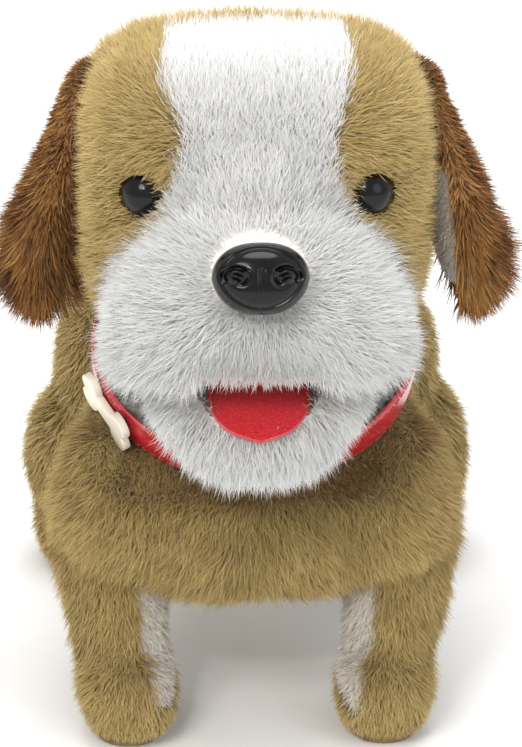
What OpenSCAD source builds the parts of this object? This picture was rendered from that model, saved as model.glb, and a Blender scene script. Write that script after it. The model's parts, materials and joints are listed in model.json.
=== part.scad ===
// Battery-driven walking plush puppy: padded skin over a geared case, four linked legs,
// a nodding head with a hinged jaw, hanging ears and a wagging tail.
// Millimetres, +Z up, nose towards -Y, origin at the centre of the footprint on the floor.

/* [Body] */
// Width of the body over its fabric
body_w = 94; // [86:1:110]
// Reach of the chest in front of the origin
chest_y = 60; // [56:1:70]
// Reach of the rump behind the origin
rump_y = 88; // [84:1:98]
// Height of the belly above the floor
belly_z = 36; // [32:1:40]
// Height of the back above the floor
back_z = 103; // [102:1:116]
// Radius of the body's padded corners
body_r = 20; // [14:1:24]
// Thickness of fabric and padding on the body
skin_t = 3; // [2:0.5:4]

/* [Head] */
// Width of the skull part of the head over its fabric
head_w = 79; // [72:1:90]
// Length of the skull part of the head, front to back
head_l = 72; // [66:1:80]
// Height of the skull part of the head
head_h = 67; // [60:1:76]
// Padding between the plastic skull and the fabric's face
head_pad = 5.5; // [4:0.5:7]
// Width of the muzzle over its fabric
muzzle_w = 62; // [54:1:70]
// Reach of the muzzle in front of the head's centre
muzzle_reach = 64; // [58:1:66]
// Width of the lower jaw over its fabric
jaw_w = 44; // [38:1:50]
// Diameter of a glass-look eye
eye_d = 12; // [10:0.5:14]
// Width of the moulded nose
nose_w = 22; // [18:1:26]
// Length of an ear from its seam to its tip
ear_len = 52; // [44:1:60]
// Widest part of an ear, front to back
ear_w = 38; // [30:1:44]

/* [Mechanism case] */
// Outer width of the moulded case
case_w = 52; // [50:1:60]
// Wall of the moulded case
case_wall = 2; // [1.6:0.2:2.6]
// Diameter of one round cell
cell_d = 14.5; // [13:0.5:14.5]
// Length of one round cell
cell_l = 50.5; // [44:0.5:50.5]
// Diameter of a steel leg axle
axle_d = 4; // [3:0.5:5]
// Running clearance on a radius
play = 0.05; // [0.03:0.01:0.09]

/* [Legs] */
// Height of the leg pivots above the floor
pivot_z = 66; // [62:1:70]
// Distance of the shoulder pivots in front of the origin
shoulder_y = 40; // [36:1:42]
// Distance of the hip pivots behind the origin
hip_y = 60; // [54:1:60]
// Length of a lever arm above its pivot
arm_l = 11.5; // [10:0.5:12]
// Thickness of a leg lever
lever_t = 3; // [2:0.5:4]
// Thickness of a walking link
link_t = 2; // [1.5:0.5:3]
// Radius of the padded top of a leg
thigh_r = 18; // [15:1:19]
// Radius of a leg's padding beside its link
thigh_inner_r = 11; // [9:0.5:11.5]
// Radius of a padded paw
paw_r = 10; // [9:0.5:12]
// Thickness of a grip sole
sole_t = 3; // [2:0.5:4]

/* [Gears] */
// Gear module
gear_m = 0.7; // [0.6:0.05:0.7]
// Teeth on the motor pinion
pinion_n = 9; // [9:1:10]
// Teeth on each small compound gear
small_n = 10; // [10:1:12]
// Teeth on each large compound gear
large_n = 30; // [28:2:32]
// Teeth on the crank gear
crank_n = 36; // [34:2:36]
// Face width of each gear
gear_t = 3; // [2:0.5:3]

/* [Collar] */
// Half-width of the collar across the neck
collar_rx = 38.4; // [36.4:0.5:40.4]
// Half-depth of the collar, throat to nape
collar_ry = 34; // [32:0.5:35]
// Width of the collar strap
strap_w = 11; // [8:0.5:12]
// Thickness of the collar strap
strap_t = 1.6; // [1:0.2:2.4]

/* [Hidden] */

LEFT = 1;
RIGHT = -1;
far = 300;          // longer than any cut needs
gap = 0.5;          // clearance between soft pieces and what they wrap
soft_fn = 28;       // facets round a padded ball
arc_steps = 6;      // facets to a quarter turn of a padded corner

TAN = "#c8ac78";
BROWN = "#8a5a2c";
WHITE = "#f0efec";
BLACK = "#111214";
RED = "#c4161f";
CREAM = "#ece7d6";
STEEL = "#b9bcc0";
PLASTIC = "#d8d6cf";

// Case box
case_x = case_w / 2;
case_front = shoulder_y + 6;
case_back = hip_y + 14;
case_bottom = belly_z + 6;
case_top = back_z - 6;
gear_z = case_top - 17;
inner_x = case_x - case_wall;

// Layers beside the case, measured from the middle plane
lever_x0 = case_x + 1;
lever_x1 = lever_x0 + lever_t;
link_x0 = lever_x1 + 0.4;
link_x1 = link_x0 + link_t;
peg_x1 = link_x1 + 1;
thigh_x0 = peg_x1 + gap;
thigh_x1 = body_w / 2;
peg_r = 2;
hub_r = 6;

// Paws: sideways place and forward offset of each pair
front_paw_x = 32;
front_paw_dy = -8;
rear_paw_x = 48;
rear_paw_dy = 0;
swing = 12;

// Gear train, from the motor back to the crank
pressure = 25;
addendum = 0.8 * gear_m;
dedendum = 1.0 * gear_m;
backlash = 0.1;
function pitch_r(n) = gear_m * n / 2;
function apart(a, b) = pitch_r(a) + pitch_r(b);
motor_y = -30;
first_y = motor_y + apart(pinion_n, large_n);
second_y = first_y + apart(small_n, large_n);
crank_y = second_y + apart(small_n, crank_n);
gear_x0 = 11;                       // inner face of the motor pinion's layer
layer = gear_t + 0.7;               // from one gear layer to the next
gear_axle_r = 1.5;
motor_shaft_r = 1;
crank_r = arm_l * sin(swing);       // crank throw that swings the legs by their range
motor_l = 25;
motor_x1 = gear_x0 - 1.5;

// Head: centres of its padded forms
head_y = -34;
head_z = back_z + 38;
muzzle_z = head_z - 26;
muzzle_y = head_y - muzzle_reach + 30;
jaw_z = muzzle_z - 20;
head_r = 24;
skull_r = 16;
skull_wall = 2;
skull_w = head_w - 2 * head_pad;
skull_l = head_l - 2 * head_pad;
skull_h = head_h - 2 * head_pad;
skull_floor_z = head_z - skull_h / 2;
snout_w = 24;
snout_z0 = muzzle_z + 3;
snout_z1 = muzzle_z + 19;
snout_y = muzzle_y - 18;
jaw_pivot_y = head_y - 14;
jaw_pivot_z = muzzle_z - 11;
jaw_pivot = [jaw_pivot_y, jaw_pivot_z];
mouth_back = 6;
lip_rise = 7;                       // slope of the upper lip from the jaw pivot, degrees
lip_drop = 8;                       // slope of the lower lip from the jaw pivot, degrees

// Neck: the nod axis is the middle of the collar, so the neck turns inside it
neck_y = head_y - 1;
neck_z = back_z - 7;
neck_lean = 50;                     // collar's normal above the horizontal, degrees
neck_slack = 1;                     // room between the neck and the collar
nod_pin_r = 1.5;
nod = 4;

// Bone-shaped slide on the collar
bone_at = 208;                      // place round the collar, degrees
bone_l = 13;
bone_t = 2;
bone_end_r = 3.4;
bone_half_w = 6.2;
bone_room = bone_t + 2;             // the bone is flat, so its ends stand off the round strap

// Eyes sit square on the skull's rounded front corners
eye_turn = 28;
eye_z = head_z + 5;
eye_x = skull_w / 2 - skull_r;
eye_y = head_y - skull_l / 2 + skull_r;

// Nose
nose_z = head_z - 6.5;
nose_lift = 22;
nose_y = -97;
nose_h = 16;

// Tail
tail_pin_y = case_back + 4.5;
tail_z = back_z - 14;
tail_end_y = 103.6;
tail_r = 6.5;

// Battery bay
bay_y0 = 2;
bay_y1 = bay_y0 + cell_l + 5;
bay_wall = 1.2;
bay_x = cell_d + bay_wall + 0.6;
bay_z1 = case_bottom + case_wall + cell_d + 1.5;
door_t = 1.9;
door_y0 = bay_y0 - 4;
door_y1 = bay_y1 + 6;
door_x = bay_x + 3;
door_screw_y = bay_y1 + 4;
screw_r = 1.2;

// Case screws stand near the corners
post_r = 3.2;
post_in = case_wall + post_r - 0.5;
post_yz = [
    [-case_front + post_in, case_bottom + post_in],
    [neck_y + 9.4, case_top - post_in],
    [case_back - post_in, case_bottom + post_in],
    [case_back - post_in, case_top - post_in]
];
nod_slot_x = 9.4;
speaker_y = -22.5;

// Pat button and its board
button_y = 40;
switch_y = -6.1;                    // the door's edge swings past it as the door opens
button_r = 6;
board_z = case_top - 11;

// ---------- helpers ----------

// Cylinder along X at the local origin
module x_rod(r, x0, x1, fn = 48) {
    translate([x0, 0, 0]) rotate([0, 90, 0]) cylinder(r = r, h = x1 - x0, $fn = fn);
}

// Outline drawn in the side plane, as (y, z), and given a thickness along X
module side_plate(x0, x1) {
    translate([x0, 0, 0]) rotate([90, 0, 90]) linear_extrude(x1 - x0) children();
}

// Rectangle with rounded corners, about the origin
function rounded(w, l, r) = [
    for (q = [0:3], k = [0:arc_steps])
        let(a = 90 * q + 90 * k / arc_steps,
            sx = q == 0 || q == 3 ? 1 : -1,
            sy = q < 2 ? 1 : -1)
        [sx * (w / 2 - r) + r * cos(a), sy * (l / 2 - r) + r * sin(a)]
];

// Padded box about the local origin: rounded in plan, from the front and from the side
module padded_box(w, l, h, r) {
    intersection() {
        linear_extrude(h + 2, center = true) polygon(rounded(w, l, r));
        rotate([90, 0, 0]) linear_extrude(l + 2, center = true) polygon(rounded(w, h, r));
        rotate([90, 0, 90]) linear_extrude(w + 2, center = true) polygon(rounded(l, h, r));
    }
}

// Round-ended bar between two points of an outline
module bar2d(a, b, r) {
    d = b - a;
    l = norm(d);
    n = [-d[1], d[0]] / l * r;
    polygon([a + n, a - n, b - n, b + n]);
    translate(a) circle(r, $fn = 48);
    translate(b) circle(r, $fn = 48);
}

// Half-space below a slope that starts at (y, z) and runs forward, rising by a given angle
module below_slope(y, z, rise) {
    translate([0, y, z]) rotate([-rise, 0, 0]) translate([-far, -far, -far]) cube([2 * far, 2 * far, far]);
}

// Frame of the collar: its own Z runs up the neck
module at_neck() {
    translate([0, neck_y, neck_z]) rotate([90 - neck_lean, 0, 0]) children();
}

function ellipse(rx, ry, n = 72) = [for (i = [0:n - 1]) [rx * cos(360 * i / n), ry * sin(360 * i / n)]];

// Barrel turned about the nod axis, so that the neck turns inside the collar
module neck_barrel(grow = 0) {
    half = collar_rx - neck_slack + grow;
    r = collar_ry - neck_slack + grow;
    translate([0, neck_y, neck_z]) rotate([0, 90, 0]) rotate_extrude($fn = 64)
        polygon([[0, -half], for (a = [-84:6:84]) [r * cos(a), half * sin(a)], [0, half]]);
}

// Involute gear outline with one tooth centred on +X, or a gap if half_step is set
function involute(a) = tan(a) * 180 / PI - a;
function flank(n, rho) =
    let(base = pitch_r(n) * cos(pressure),
        a = rho <= base ? 0 : acos(base / rho))
    90 / n - backlash / pitch_r(n) * 90 / PI + involute(pressure) - involute(a);
function gear_outline(n) =
    let(root = pitch_r(n) - dedendum,
        tip = pitch_r(n) + addendum,
        base = pitch_r(n) * cos(pressure),
        foot = max(root, base),
        radii = [root, for (k = [0:4]) foot + (tip - foot) * k / 4])
    [for (i = [0:n - 1], side = [-1, 1], k = [0:len(radii) - 1])
        let(j = side < 0 ? k : len(radii) - 1 - k,
            a = 360 * i / n + side * flank(n, radii[j]))
        radii[j] * [cos(a), sin(a)]];

// Gear on an axle along X; its first tooth or gap points along +Y
module gear(n, x0, t, bore, tooth_at = 0) {
    side_plate(x0, x0 + t) difference() {
        rotate(tooth_at) polygon(gear_outline(n));
        circle(bore, $fn = 32);
    }
}

// Turn that puts a gap of an n-tooth gear opposite +Y, where the gear before it has a tooth
function gap_behind(n) = n % 2 == 0 ? 180 / n : 0;

// ---------- head ----------

module skull_form(grow = 0) {
    intersection() {
        translate([0, head_y, head_z])
            padded_box(skull_w + 2 * grow, skull_l + 2 * grow, skull_h + 2 * grow, skull_r + grow);
        above_collar(skin_t - grow);
    }
}

module snout_form(grow = 0) {
    translate([-snout_w / 2 - grow, snout_y - grow, snout_z0 - grow])
        cube([snout_w + 2 * grow, head_y - snout_y, snout_z1 - snout_z0 + 2 * grow]);
}

module at_eye(side) {
    translate([side * eye_x, eye_y, eye_z]) rotate([0, 0, side * eye_turn]) rotate([90, 0, 0]) children();
}

module at_nose() {
    translate([0, nose_y, nose_z]) rotate([90 - nose_lift, 0, 0]) children();
}

// What stays in front of and above the collar, clear of it as the head nods
module above_collar(more = 0) {
    lift = strap_w / 2 + collar_ry * sin(nod) + 1 + more;
    at_neck() translate([-far, -far, lift]) cube([2 * far, 2 * far, far]);
}

module muzzle_form() {
    translate([0, muzzle_y, muzzle_z]) padded_box(muzzle_w, 60, 59, 24);
}

module head_skin() {
    color(TAN) difference() {
        union() {
            intersection() {
                union() {
                    translate([0, head_y, head_z]) padded_box(head_w, head_l, head_h, head_r);
                    muzzle_form();
                }
                above_collar();
            }
            intersection() {
                neck_barrel();
                at_neck() translate([-far, -far, 0]) cube([2 * far, 2 * far, far]);
            }
        }
        skull_form(gap);
        snout_form(gap);
        neck_barrel(-skin_t);
        translate([0, neck_y, neck_z]) cylinder(r = 17, h = 30);
        mouth_space();
        for (side = [LEFT, RIGHT]) at_eye(side) cylinder(r = eye_d / 2 + 0.5, h = 40);
        at_nose() translate([0, 0, -30]) cylinder(r = nose_w / 2 - 4, h = 30);
        at_nose() translate([0, 0, -2.5]) cylinder(r = nose_w / 2 + 0.6, h = 30);
    }
}

// Room below the upper lip for the jaw to swing in
module mouth_space() {
    reach = muzzle_reach + 20;
    side_plate(-muzzle_w, muzzle_w) polygon([
        jaw_pivot + [mouth_back, 0], jaw_pivot, jaw_pivot + reach * [-1, tan(lip_rise)],
        jaw_pivot + reach * [-1, -1], jaw_pivot + reach * [0, -1] + [mouth_back, 0]
    ]);
    translate([0, jaw_pivot_y, jaw_pivot_z]) x_rod(mouth_back + 2, -jaw_w / 2 - 1, jaw_w / 2 + 1);
}

module skull_shell() {
    difference() {
        union() {
            skull_form();
            snout_form();
        }
        skull_form(-skull_wall);
        snout_form(-skull_wall);
        translate([-11, neck_y - 6.5, skull_floor_z - 5]) cube([22, 12, 10]);
        for (side = [LEFT, RIGHT]) at_eye(side) cylinder(r = 2, h = 40, $fn = 32);
        at_nose() translate([0, 0, -30]) cylinder(r = 2.6, h = 60, $fn = 32);
    }
}

skull_screw_xz = [
    for (x = [-1, 1], z = [-6, skull_h / 2 - skull_wall - 7])
        [x * (skull_w / 2 - skull_wall - 5), head_z + z]
];

// Posts that the skull screws pass through, rooted in the middle of the wall
module skull_posts(y0, y1) {
    intersection() {
        for (p = skull_screw_xz) translate([p[0], y0, p[1]])
            rotate([-90, 0, 0]) difference() {
                cylinder(r = 3.6, h = y1 - y0, $fn = 32);
                translate([0, 0, -1]) cylinder(r = screw_r + 0.1, h = y1 - y0 + 2, $fn = 24);
            }
        skull_form(-skull_wall / 2);
    }
}

module jaw_ears() {
    difference() {
        for (side = [LEFT, RIGHT])
            side_plate(side > 0 ? 8.4 : -10.4, side > 0 ? 10.4 : -8.4)
                bar2d([jaw_pivot_y, jaw_pivot_z], [jaw_pivot_y + 2, snout_z0 + 1], 4);
        translate([0, jaw_pivot_y, jaw_pivot_z]) x_rod(1.5 + 0.02, -20, 20);
    }
}

module skull_front() {
    color(PLASTIC) {
        intersection() {
            skull_shell();
            translate([-far, -far + head_y, 0]) cube([2 * far, far, far]);
        }
        skull_posts(head_y - skull_l / 2, head_y);
        jaw_ears();
    }
}

module skull_back() {
    color(PLASTIC) {
        difference() {
            intersection() {
                skull_shell();
                translate([-far, head_y, 0]) cube([2 * far, far, far]);
            }
            skull_screw_seats();
        }
        difference() {
            skull_posts(head_y, head_y + skull_l / 2);
            skull_screw_seats();
        }
    }
}

screw_head_y = head_y + skull_l / 2 - 9;
module skull_screw_seats() {
    for (p = skull_screw_xz) translate([p[0], screw_head_y, p[1]])
        rotate([-90, 0, 0]) cylinder(r = 2.6, h = far, $fn = 32);
}

module skull_screws() {
    color(STEEL) for (p = skull_screw_xz) translate([p[0], 0, p[1]]) {
        translate([0, head_y - 8, 0]) rotate([-90, 0, 0]) cylinder(r = screw_r, h = screw_head_y - head_y + 8, $fn = 24);
        translate([0, screw_head_y, 0]) rotate([-90, 0, 0]) cylinder(r = 2.3, h = 1.6, $fn = 32);
    }
}

module nose() {
    color(BLACK) at_nose() {
        intersection() {
            hull() for (x = [-1, 1]) translate([x * (nose_w / 2 - nose_h / 2), 0, -1.5]) sphere(nose_h / 2, $fn = 40);
            translate([-far, -far, -2]) cube([2 * far, 2 * far, far]);
        }
        translate([0, 0, -21]) cylinder(r = 2.4, h = 20, $fn = 32);
    }
}

module eye(side) {
    color(BLACK) at_eye(side) {
        difference() {
            translate([0, 0, skull_r + 3]) sphere(eye_d / 2, $fn = 48);
            translate([-far, -far, -far]) cube([2 * far, 2 * far, far + skull_r + 0.4]);
        }
        translate([0, 0, 8]) cylinder(r = 1.8, h = skull_r - 6, $fn = 32);
    }
}

module face_washers() {
    color(PLASTIC) {
        for (side = [LEFT, RIGHT])
            at_eye(side) translate([0, 0, skull_r - skull_wall - 2.4]) washer(4, 1.85);
        at_nose() translate([0, 0, -18.2]) washer(3.8, 2.45);
    }
}

module washer(r, hole) {
    difference() {
        cylinder(r = r, h = 1.2, $fn = 40);
        translate([0, 0, -1]) cylinder(r = hole, h = 4, $fn = 32);
    }
}

// Felt roof of the mouth, just under the upper lip
module mouth_lining() {
    color(RED) intersection() {
        translate([0, jaw_pivot_y, jaw_pivot_z]) rotate([-lip_rise, 0, 0])
            translate([-13, -38, -1.2]) cube([26, 26, 1]);
        muzzle_form();
    }
}

module neck_lever() {
    color(PLASTIC) difference() {
        union() {
            for (x = [-9, 6])
                side_plate(x, x + 3) bar2d([neck_y, neck_z], [neck_y, skull_floor_z - 1], 4);
            translate([-10.5, neck_y - 6, skull_floor_z - 3]) cube([21, 7, 5.2]);
            translate([-14, neck_y - 6, skull_floor_z + skull_wall + 0.2]) cube([28, 6.8, 2]);
        }
        translate([0, neck_y, neck_z]) x_rod(nod_pin_r + play, -20, 20);
    }
}

module jaw_pin() {
    color(STEEL) translate([0, jaw_pivot_y, jaw_pivot_z]) x_rod(1.5, -12, 12);
}

jaw_bend = jaw_pivot - [12, 7];
jaw_tip = [jaw_pivot_y - 34, jaw_z - 2];
module jaw_lever() {
    color(PLASTIC) difference() {
        union() {
            side_plate(-8, 8) bar2d(jaw_pivot, jaw_bend, 3.4);
            side_plate(-8, 8) bar2d(jaw_bend - [0, 1], jaw_tip, 1.6);
        }
        translate([0, jaw_pivot_y, jaw_pivot_z]) x_rod(1.5 + play, -20, 20);
    }
}

module jaw_skin() {
    color(WHITE) difference() {
        intersection() {
            translate([0, muzzle_y + 3, jaw_z + 1]) padded_box(jaw_w, 49, 33, 15);
            below_slope(jaw_pivot_y, jaw_pivot_z, -lip_drop);
            above_collar();
            translate([-far, -far, 0]) cube([2 * far, far + jaw_pivot_y - 4, far]);
        }
        side_plate(-8.4, 8.4) bar2d(jaw_pivot, jaw_bend, 3.8);
        side_plate(-8.4, 8.4) bar2d(jaw_bend - [0, 1], jaw_tip, 2);
        tongue_form(0.2);
    }
}

module tongue_form(grow = 0) {
    translate([0, jaw_pivot_y, jaw_pivot_z]) rotate([lip_drop, 0, 0])
        translate([-12 - grow, -41 - grow, -1.4 - grow]) cube([24 + 2 * grow, 27 + 2 * grow, 1.4 + 2 * grow]);
}

module tongue() {
    color(RED) tongue_form();
}

// ---------- ears ----------

ear_hinge_x = head_w / 2 + 2.5;
ear_hinge_z = head_z + 22;
ear_lean = 9;

// Ear blade: an egg-shaped leaf that hangs from its seam, in layers across its thickness
module ear_blade(t0, t1) {
    rotate([0, 90, 0]) translate([0, 0, t0]) linear_extrude(t1 - t0)
        polygon([for (a = [-150:10:150]) [
            ear_len * (0.5 + 0.5 * cos(a)),
            ear_w / 2 * sin(a) * (1 + 0.2 * cos(a))
        ]]);
}

module ear(side, t0, t1) {
    mirror([side > 0 ? 0 : 1, 0, 0])
        translate([ear_hinge_x, head_y + 2, ear_hinge_z]) rotate([0, -ear_lean, 0]) ear_blade(t0, t1);
}

// ---------- body skin ----------

module body_form(inset = 0) {
    length = chest_y + rump_y;
    translate([0, (rump_y - chest_y) / 2, (belly_z + back_z) / 2])
        padded_box(body_w - 2 * inset, length - 2 * inset, back_z - belly_z - 2 * inset, body_r - inset);
}

// Space that one leg sweeps, outside the case
module leg_room(side, pivot_y, forward) {
    x0 = case_x - 1.5;
    y0 = forward ? -far : pivot_y - thigh_r - 6;
    y1 = forward ? pivot_y + thigh_r + 6 : far;
    mirror([side > 0 ? 0 : 1, 0, 0]) {
        translate([x0, y0, -1]) cube([far, y1 - y0, pivot_z + 1]);
        translate([0, pivot_y, pivot_z]) x_rod(thigh_r + 0.7, thigh_x0 - 0.4, far);
        translate([x0, pivot_y - hub_r - 6, pivot_z - 1]) cube([link_x1 - x0, 2 * hub_r + 12, arm_l + hub_r + 4]);
    }
}

module body_skin() {
    color(TAN) difference() {
        body_form();
        body_form(skin_t);
        for (side = [LEFT, RIGHT]) {
            leg_room(side, -shoulder_y, true);
            leg_room(side, hip_y, false);
        }
        neck_barrel(gap);
        at_neck() translate([0, 0, -bone_half_w - gap]) linear_extrude(far)
            polygon(ellipse(collar_rx + strap_t + bone_room, collar_ry + strap_t + bone_room));
        translate([-door_x - 2, -20, 0]) cube([2 * door_x + 4, door_y1 + 22, belly_z + skin_t + 2]);
        translate([0, tail_pin_y, tail_z]) rotate([-90, 0, 0]) cylinder(r = 8, h = 40);
    }
}

// ---------- case ----------

module case_cavity() {
    translate([-inner_x, -case_front + case_wall, case_bottom + case_wall])
        cube([2 * inner_x, case_front + case_back - 2 * case_wall, case_top - case_bottom - 2 * case_wall]);
}

axle_bores = [[-shoulder_y, pivot_z, axle_d / 2 + 0.02], [hip_y, pivot_z, axle_d / 2 + 0.02],
              [crank_y, gear_z, axle_d / 2 + play], [neck_y, neck_z, nod_pin_r + 0.02],
              [first_y, gear_z, gear_axle_r + 0.02], [second_y, gear_z, gear_axle_r + 0.02]];

module case_half(side) {
    x0 = side > 0 ? 0 : -case_x;
    difference() {
        union() {
            difference() {
                translate([x0, -case_front, case_bottom])
                    cube([case_x, case_front + case_back, case_top - case_bottom]);
                case_cavity();
            }
            for (p = post_yz) translate([0, p[0], p[1]]) x_rod(post_r, side > 0 ? 0 : -inner_x, side > 0 ? inner_x : 0);
            for (b = axle_bores) translate([0, b[0], b[1]])
                x_rod(b[2] + 1.6, side > 0 ? inner_x - 1.4 : -case_x, side > 0 ? case_x : 1.4 - inner_x);
        }
        for (b = axle_bores) translate([0, b[0], b[1]]) x_rod(b[2], -far, far);
        for (p = post_yz) translate([0, p[0], p[1]]) {
            x_rod(screw_r + (side > 0 ? 0.05 : 0.3), -far, 12, 24);
            x_rod(2.6, -far, -inner_x + 4, 32);
        }
        // Slot for the neck, battery bay, speaker grille, switch and button
        translate([-nod_slot_x, neck_y - 5.4, case_top - 9]) cube([2 * nod_slot_x, 10.8, 20]);
        translate([-bay_x, bay_y0 - bay_wall, case_bottom - 1])
            cube([2 * bay_x, bay_y1 - bay_y0 + 2 * bay_wall, 10]);
        for (i = [0:6]) translate([0, speaker_y, case_bottom - 1]) rotate(60 * i)
            translate([i < 6 ? 7 : 0, 0, 0]) cylinder(r = 1.2, h = 4, $fn = 24);
        translate([-5.2, switch_y - 1.9, case_bottom - 1]) cube([10.4, 3.8, 4]);
        translate([0, button_y, case_top - 4]) cylinder(r = button_r + 0.2, h = 8);
        translate([0, door_screw_y, case_bottom - 1]) cylinder(r = 2.1, h = 8, $fn = 32);
    }
}

module case_left() {
    color(PLASTIC) case_half(LEFT);
}

module case_right() {
    color(PLASTIC) case_half(RIGHT);
}

module case_screws() {
    color(STEEL) for (p = post_yz) translate([0, p[0], p[1]]) {
        x_rod(screw_r, -inner_x + 2.4, 10, 24);
        x_rod(2.3, -inner_x + 0.8, -inner_x + 2.4, 32);
    }
}

module battery_tray() {
    z0 = case_bottom + 0.2;
    color("#3a3b3d") difference() {
        translate([-bay_x + 0.1, bay_y0 - bay_wall + 0.1, z0])
            cube([2 * bay_x - 0.2, bay_y1 - bay_y0 + 2 * bay_wall - 0.2, bay_z1 - z0]);
        translate([-bay_x + bay_wall, bay_y0, z0 - 1])
            cube([2 * (bay_x - bay_wall), bay_y1 - bay_y0, bay_z1 - z0 - 0.2]);
    }
}

cell_z = bay_z1 - bay_wall - cell_d / 2 - 0.2;
module cells() {
    for (side = [LEFT, RIGHT]) color("#3f6b4a")
        translate([side * (cell_d / 2 + 0.25), bay_y0 + 3, cell_z]) rotate([-90, 0, 0]) {
            cylinder(r = cell_d / 2, h = cell_l - 1, $fn = 64);
            cylinder(r = 2.7, h = cell_l, $fn = 32);
        }
}

module battery_contacts() {
    color(STEEL) for (side = [LEFT, RIGHT]) translate([side * (cell_d / 2 + 0.25), 0, cell_z]) {
        translate([-5, bay_y0 + 0.1, -5]) cube([10, 0.4, 10]);
        translate([0, bay_y0 + 0.5, 0]) rotate([-90, 0, 0]) difference() {
            cylinder(r1 = 4.6, r2 = 3, h = 2.4);
            translate([0, 0, -1]) cylinder(r = 2, h = 5, $fn = 24);
        }
        translate([-5, bay_y1 - 0.5, -5]) cube([10, 0.4, 10]);
    }
}

module circuit_board() {
    x0 = -inner_x + 1.5;
    color("#1f6b3a") difference() {
        translate([x0, button_y - 12, board_z]) cube([2 * inner_x - 12, 22, 1.6]);
        translate([x0 + 4, button_y - 8, board_z - 1]) cylinder(r = 1.3, h = 4, $fn = 24);
    }
    color(BLACK) {
        translate([x0 + 12, button_y - 2, board_z + 1.6]) cylinder(r = 4, h = 1.2, $fn = 32);
        translate([-3, button_y - 3, board_z + 1.6]) cube([6, 6, 2.4]);
    }
    color("#2a3f8c") translate([x0 + 6, button_y + 5, board_z - 7.2]) cylinder(r = 2.5, h = 7.2, $fn = 32);
}

module speaker() {
    translate([0, speaker_y, case_bottom + case_wall + 0.3]) {
        color("#303236") difference() {
            cylinder(r = 14, h = 2.4, $fn = 64);
            translate([0, 0, -0.1]) cylinder(r1 = 12, r2 = 6, h = 2);
        }
        color(STEEL) translate([0, 0, 2.4]) cylinder(r = 7.5, h = 4, $fn = 48);
    }
}

module motor() {
    color(STEEL) translate([0, motor_y, gear_z]) difference() {
        union() {
            intersection() {
                x_rod(10, motor_x1 - motor_l, motor_x1, 64);
                translate([-far, -far, -7.5]) cube([2 * far, 2 * far, 15]);
            }
            x_rod(3, motor_x1, motor_x1 + 1);
        }
        x_rod(motor_shaft_r + play, motor_x1 - 8, motor_x1 + 3);
    }
}

module nod_pin() {
    color(STEEL) translate([0, neck_y, neck_z]) x_rod(nod_pin_r, -case_x, case_x);
}

module leg_axles() {
    for (y = [-shoulder_y, hip_y]) translate([0, y, pivot_z]) {
        color(STEEL) x_rod(axle_d / 2, -lever_x1 - 1.4, lever_x1 + 1.4);
        color(STEEL) for (side = [LEFT, RIGHT]) mirror([side > 0 ? 0 : 1, 0, 0])
            x_rod(axle_d / 2 + 1.6, lever_x1 + 0.3, lever_x1 + 1.2);
    }
}

module gear_axles() {
    color(STEEL) for (y = [first_y, second_y]) translate([0, y, gear_z]) x_rod(gear_axle_r, -case_x, case_x);
}

module collar_strap() {
    color(RED) at_neck() translate([0, 0, -strap_w / 2]) linear_extrude(strap_w) difference() {
        polygon(ellipse(collar_rx + strap_t, collar_ry + strap_t));
        polygon(ellipse(collar_rx, collar_ry));
    }
}

module collar_bone() {
    rx = collar_rx + strap_t;
    ry = collar_ry + strap_t;
    c = [rx * cos(bone_at), ry * sin(bone_at)];
    outward = atan2(c[1] / pow(ry, 2), c[0] / pow(rx, 2));
    color(CREAM) at_neck() translate([c[0], c[1], 0]) rotate(outward) translate([0.3, 0, 0]) {
        translate([0, -bone_l / 2, -2.6]) cube([bone_t, bone_l, 5.2]);
        for (y = [-1, 1], z = [-1, 1])
            translate([0, y * bone_l / 2, z * (bone_half_w - bone_end_r)]) x_rod(bone_end_r, 0, bone_t, 32);
    }
}

module tail_pin() {
    color(STEEL) translate([0, tail_pin_y, tail_z - 5.5]) {
        cylinder(r = 1.5, h = 11, $fn = 32);
        for (z = [0, 9.6]) translate([-3, case_back - tail_pin_y, z]) cube([6, tail_pin_y - case_back + 2, 1.4]);
    }
}

// ---------- belly and back controls ----------

module battery_door() {
    color(PLASTIC) difference() {
        translate([-door_x, door_y0, case_bottom - door_t - 0.1]) cube([2 * door_x, door_y1 - door_y0, door_t]);
        translate([0, door_screw_y, 0]) cylinder(r = screw_r + 0.02, h = far, $fn = 32);
        translate([0, door_screw_y, 0]) cylinder(r = 2.4, h = case_bottom - door_t + 0.7, $fn = 32);
        for (i = [0:4]) translate([-6, door_y0 + 4 + 2.4 * i, case_bottom - door_t - 1]) cube([12, 1, 1.4]);
    }
}

module door_screw() {
    z0 = case_bottom - door_t;
    color(STEEL) translate([0, door_screw_y, 0]) difference() {
        union() {
            translate([0, 0, z0 - 0.1]) cylinder(r = 2.3, h = 0.8, $fn = 32);
            translate([0, 0, z0 + 0.6]) cylinder(r = screw_r, h = 7, $fn = 32);
        }
        for (a = [0, 90]) rotate([0, 0, a]) translate([-1.4, -0.3, z0 - 1]) cube([2.8, 0.6, 1.3]);
    }
}

module power_switch() {
    color(BLACK) {
        translate([-4, switch_y - 1.7, case_bottom - 2.2]) cube([4, 3.4, 4.4]);
        translate([-7, switch_y - 2.2, case_bottom + case_wall + 0.1]) cube([10, 6.4, 1.6]);
    }
}

module pat_button() {
    color(PLASTIC) translate([0, button_y, 0]) {
        translate([0, 0, case_top - case_wall - 0.5]) cylinder(r = button_r, h = case_wall + 2);
        translate([0, 0, case_top - case_wall - 2.2]) cylinder(r = button_r + 1.6, h = 1.9);
    }
}

// ---------- gears ----------

module motor_pinion() {
    translate([0, motor_y, gear_z]) {
        color(PLASTIC) gear(pinion_n, gear_x0, gear_t + 0.5, motor_shaft_r);
        color(STEEL) x_rod(motor_shaft_r, motor_x1 - 7, gear_x0 + gear_t + 1);
    }
}

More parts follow.
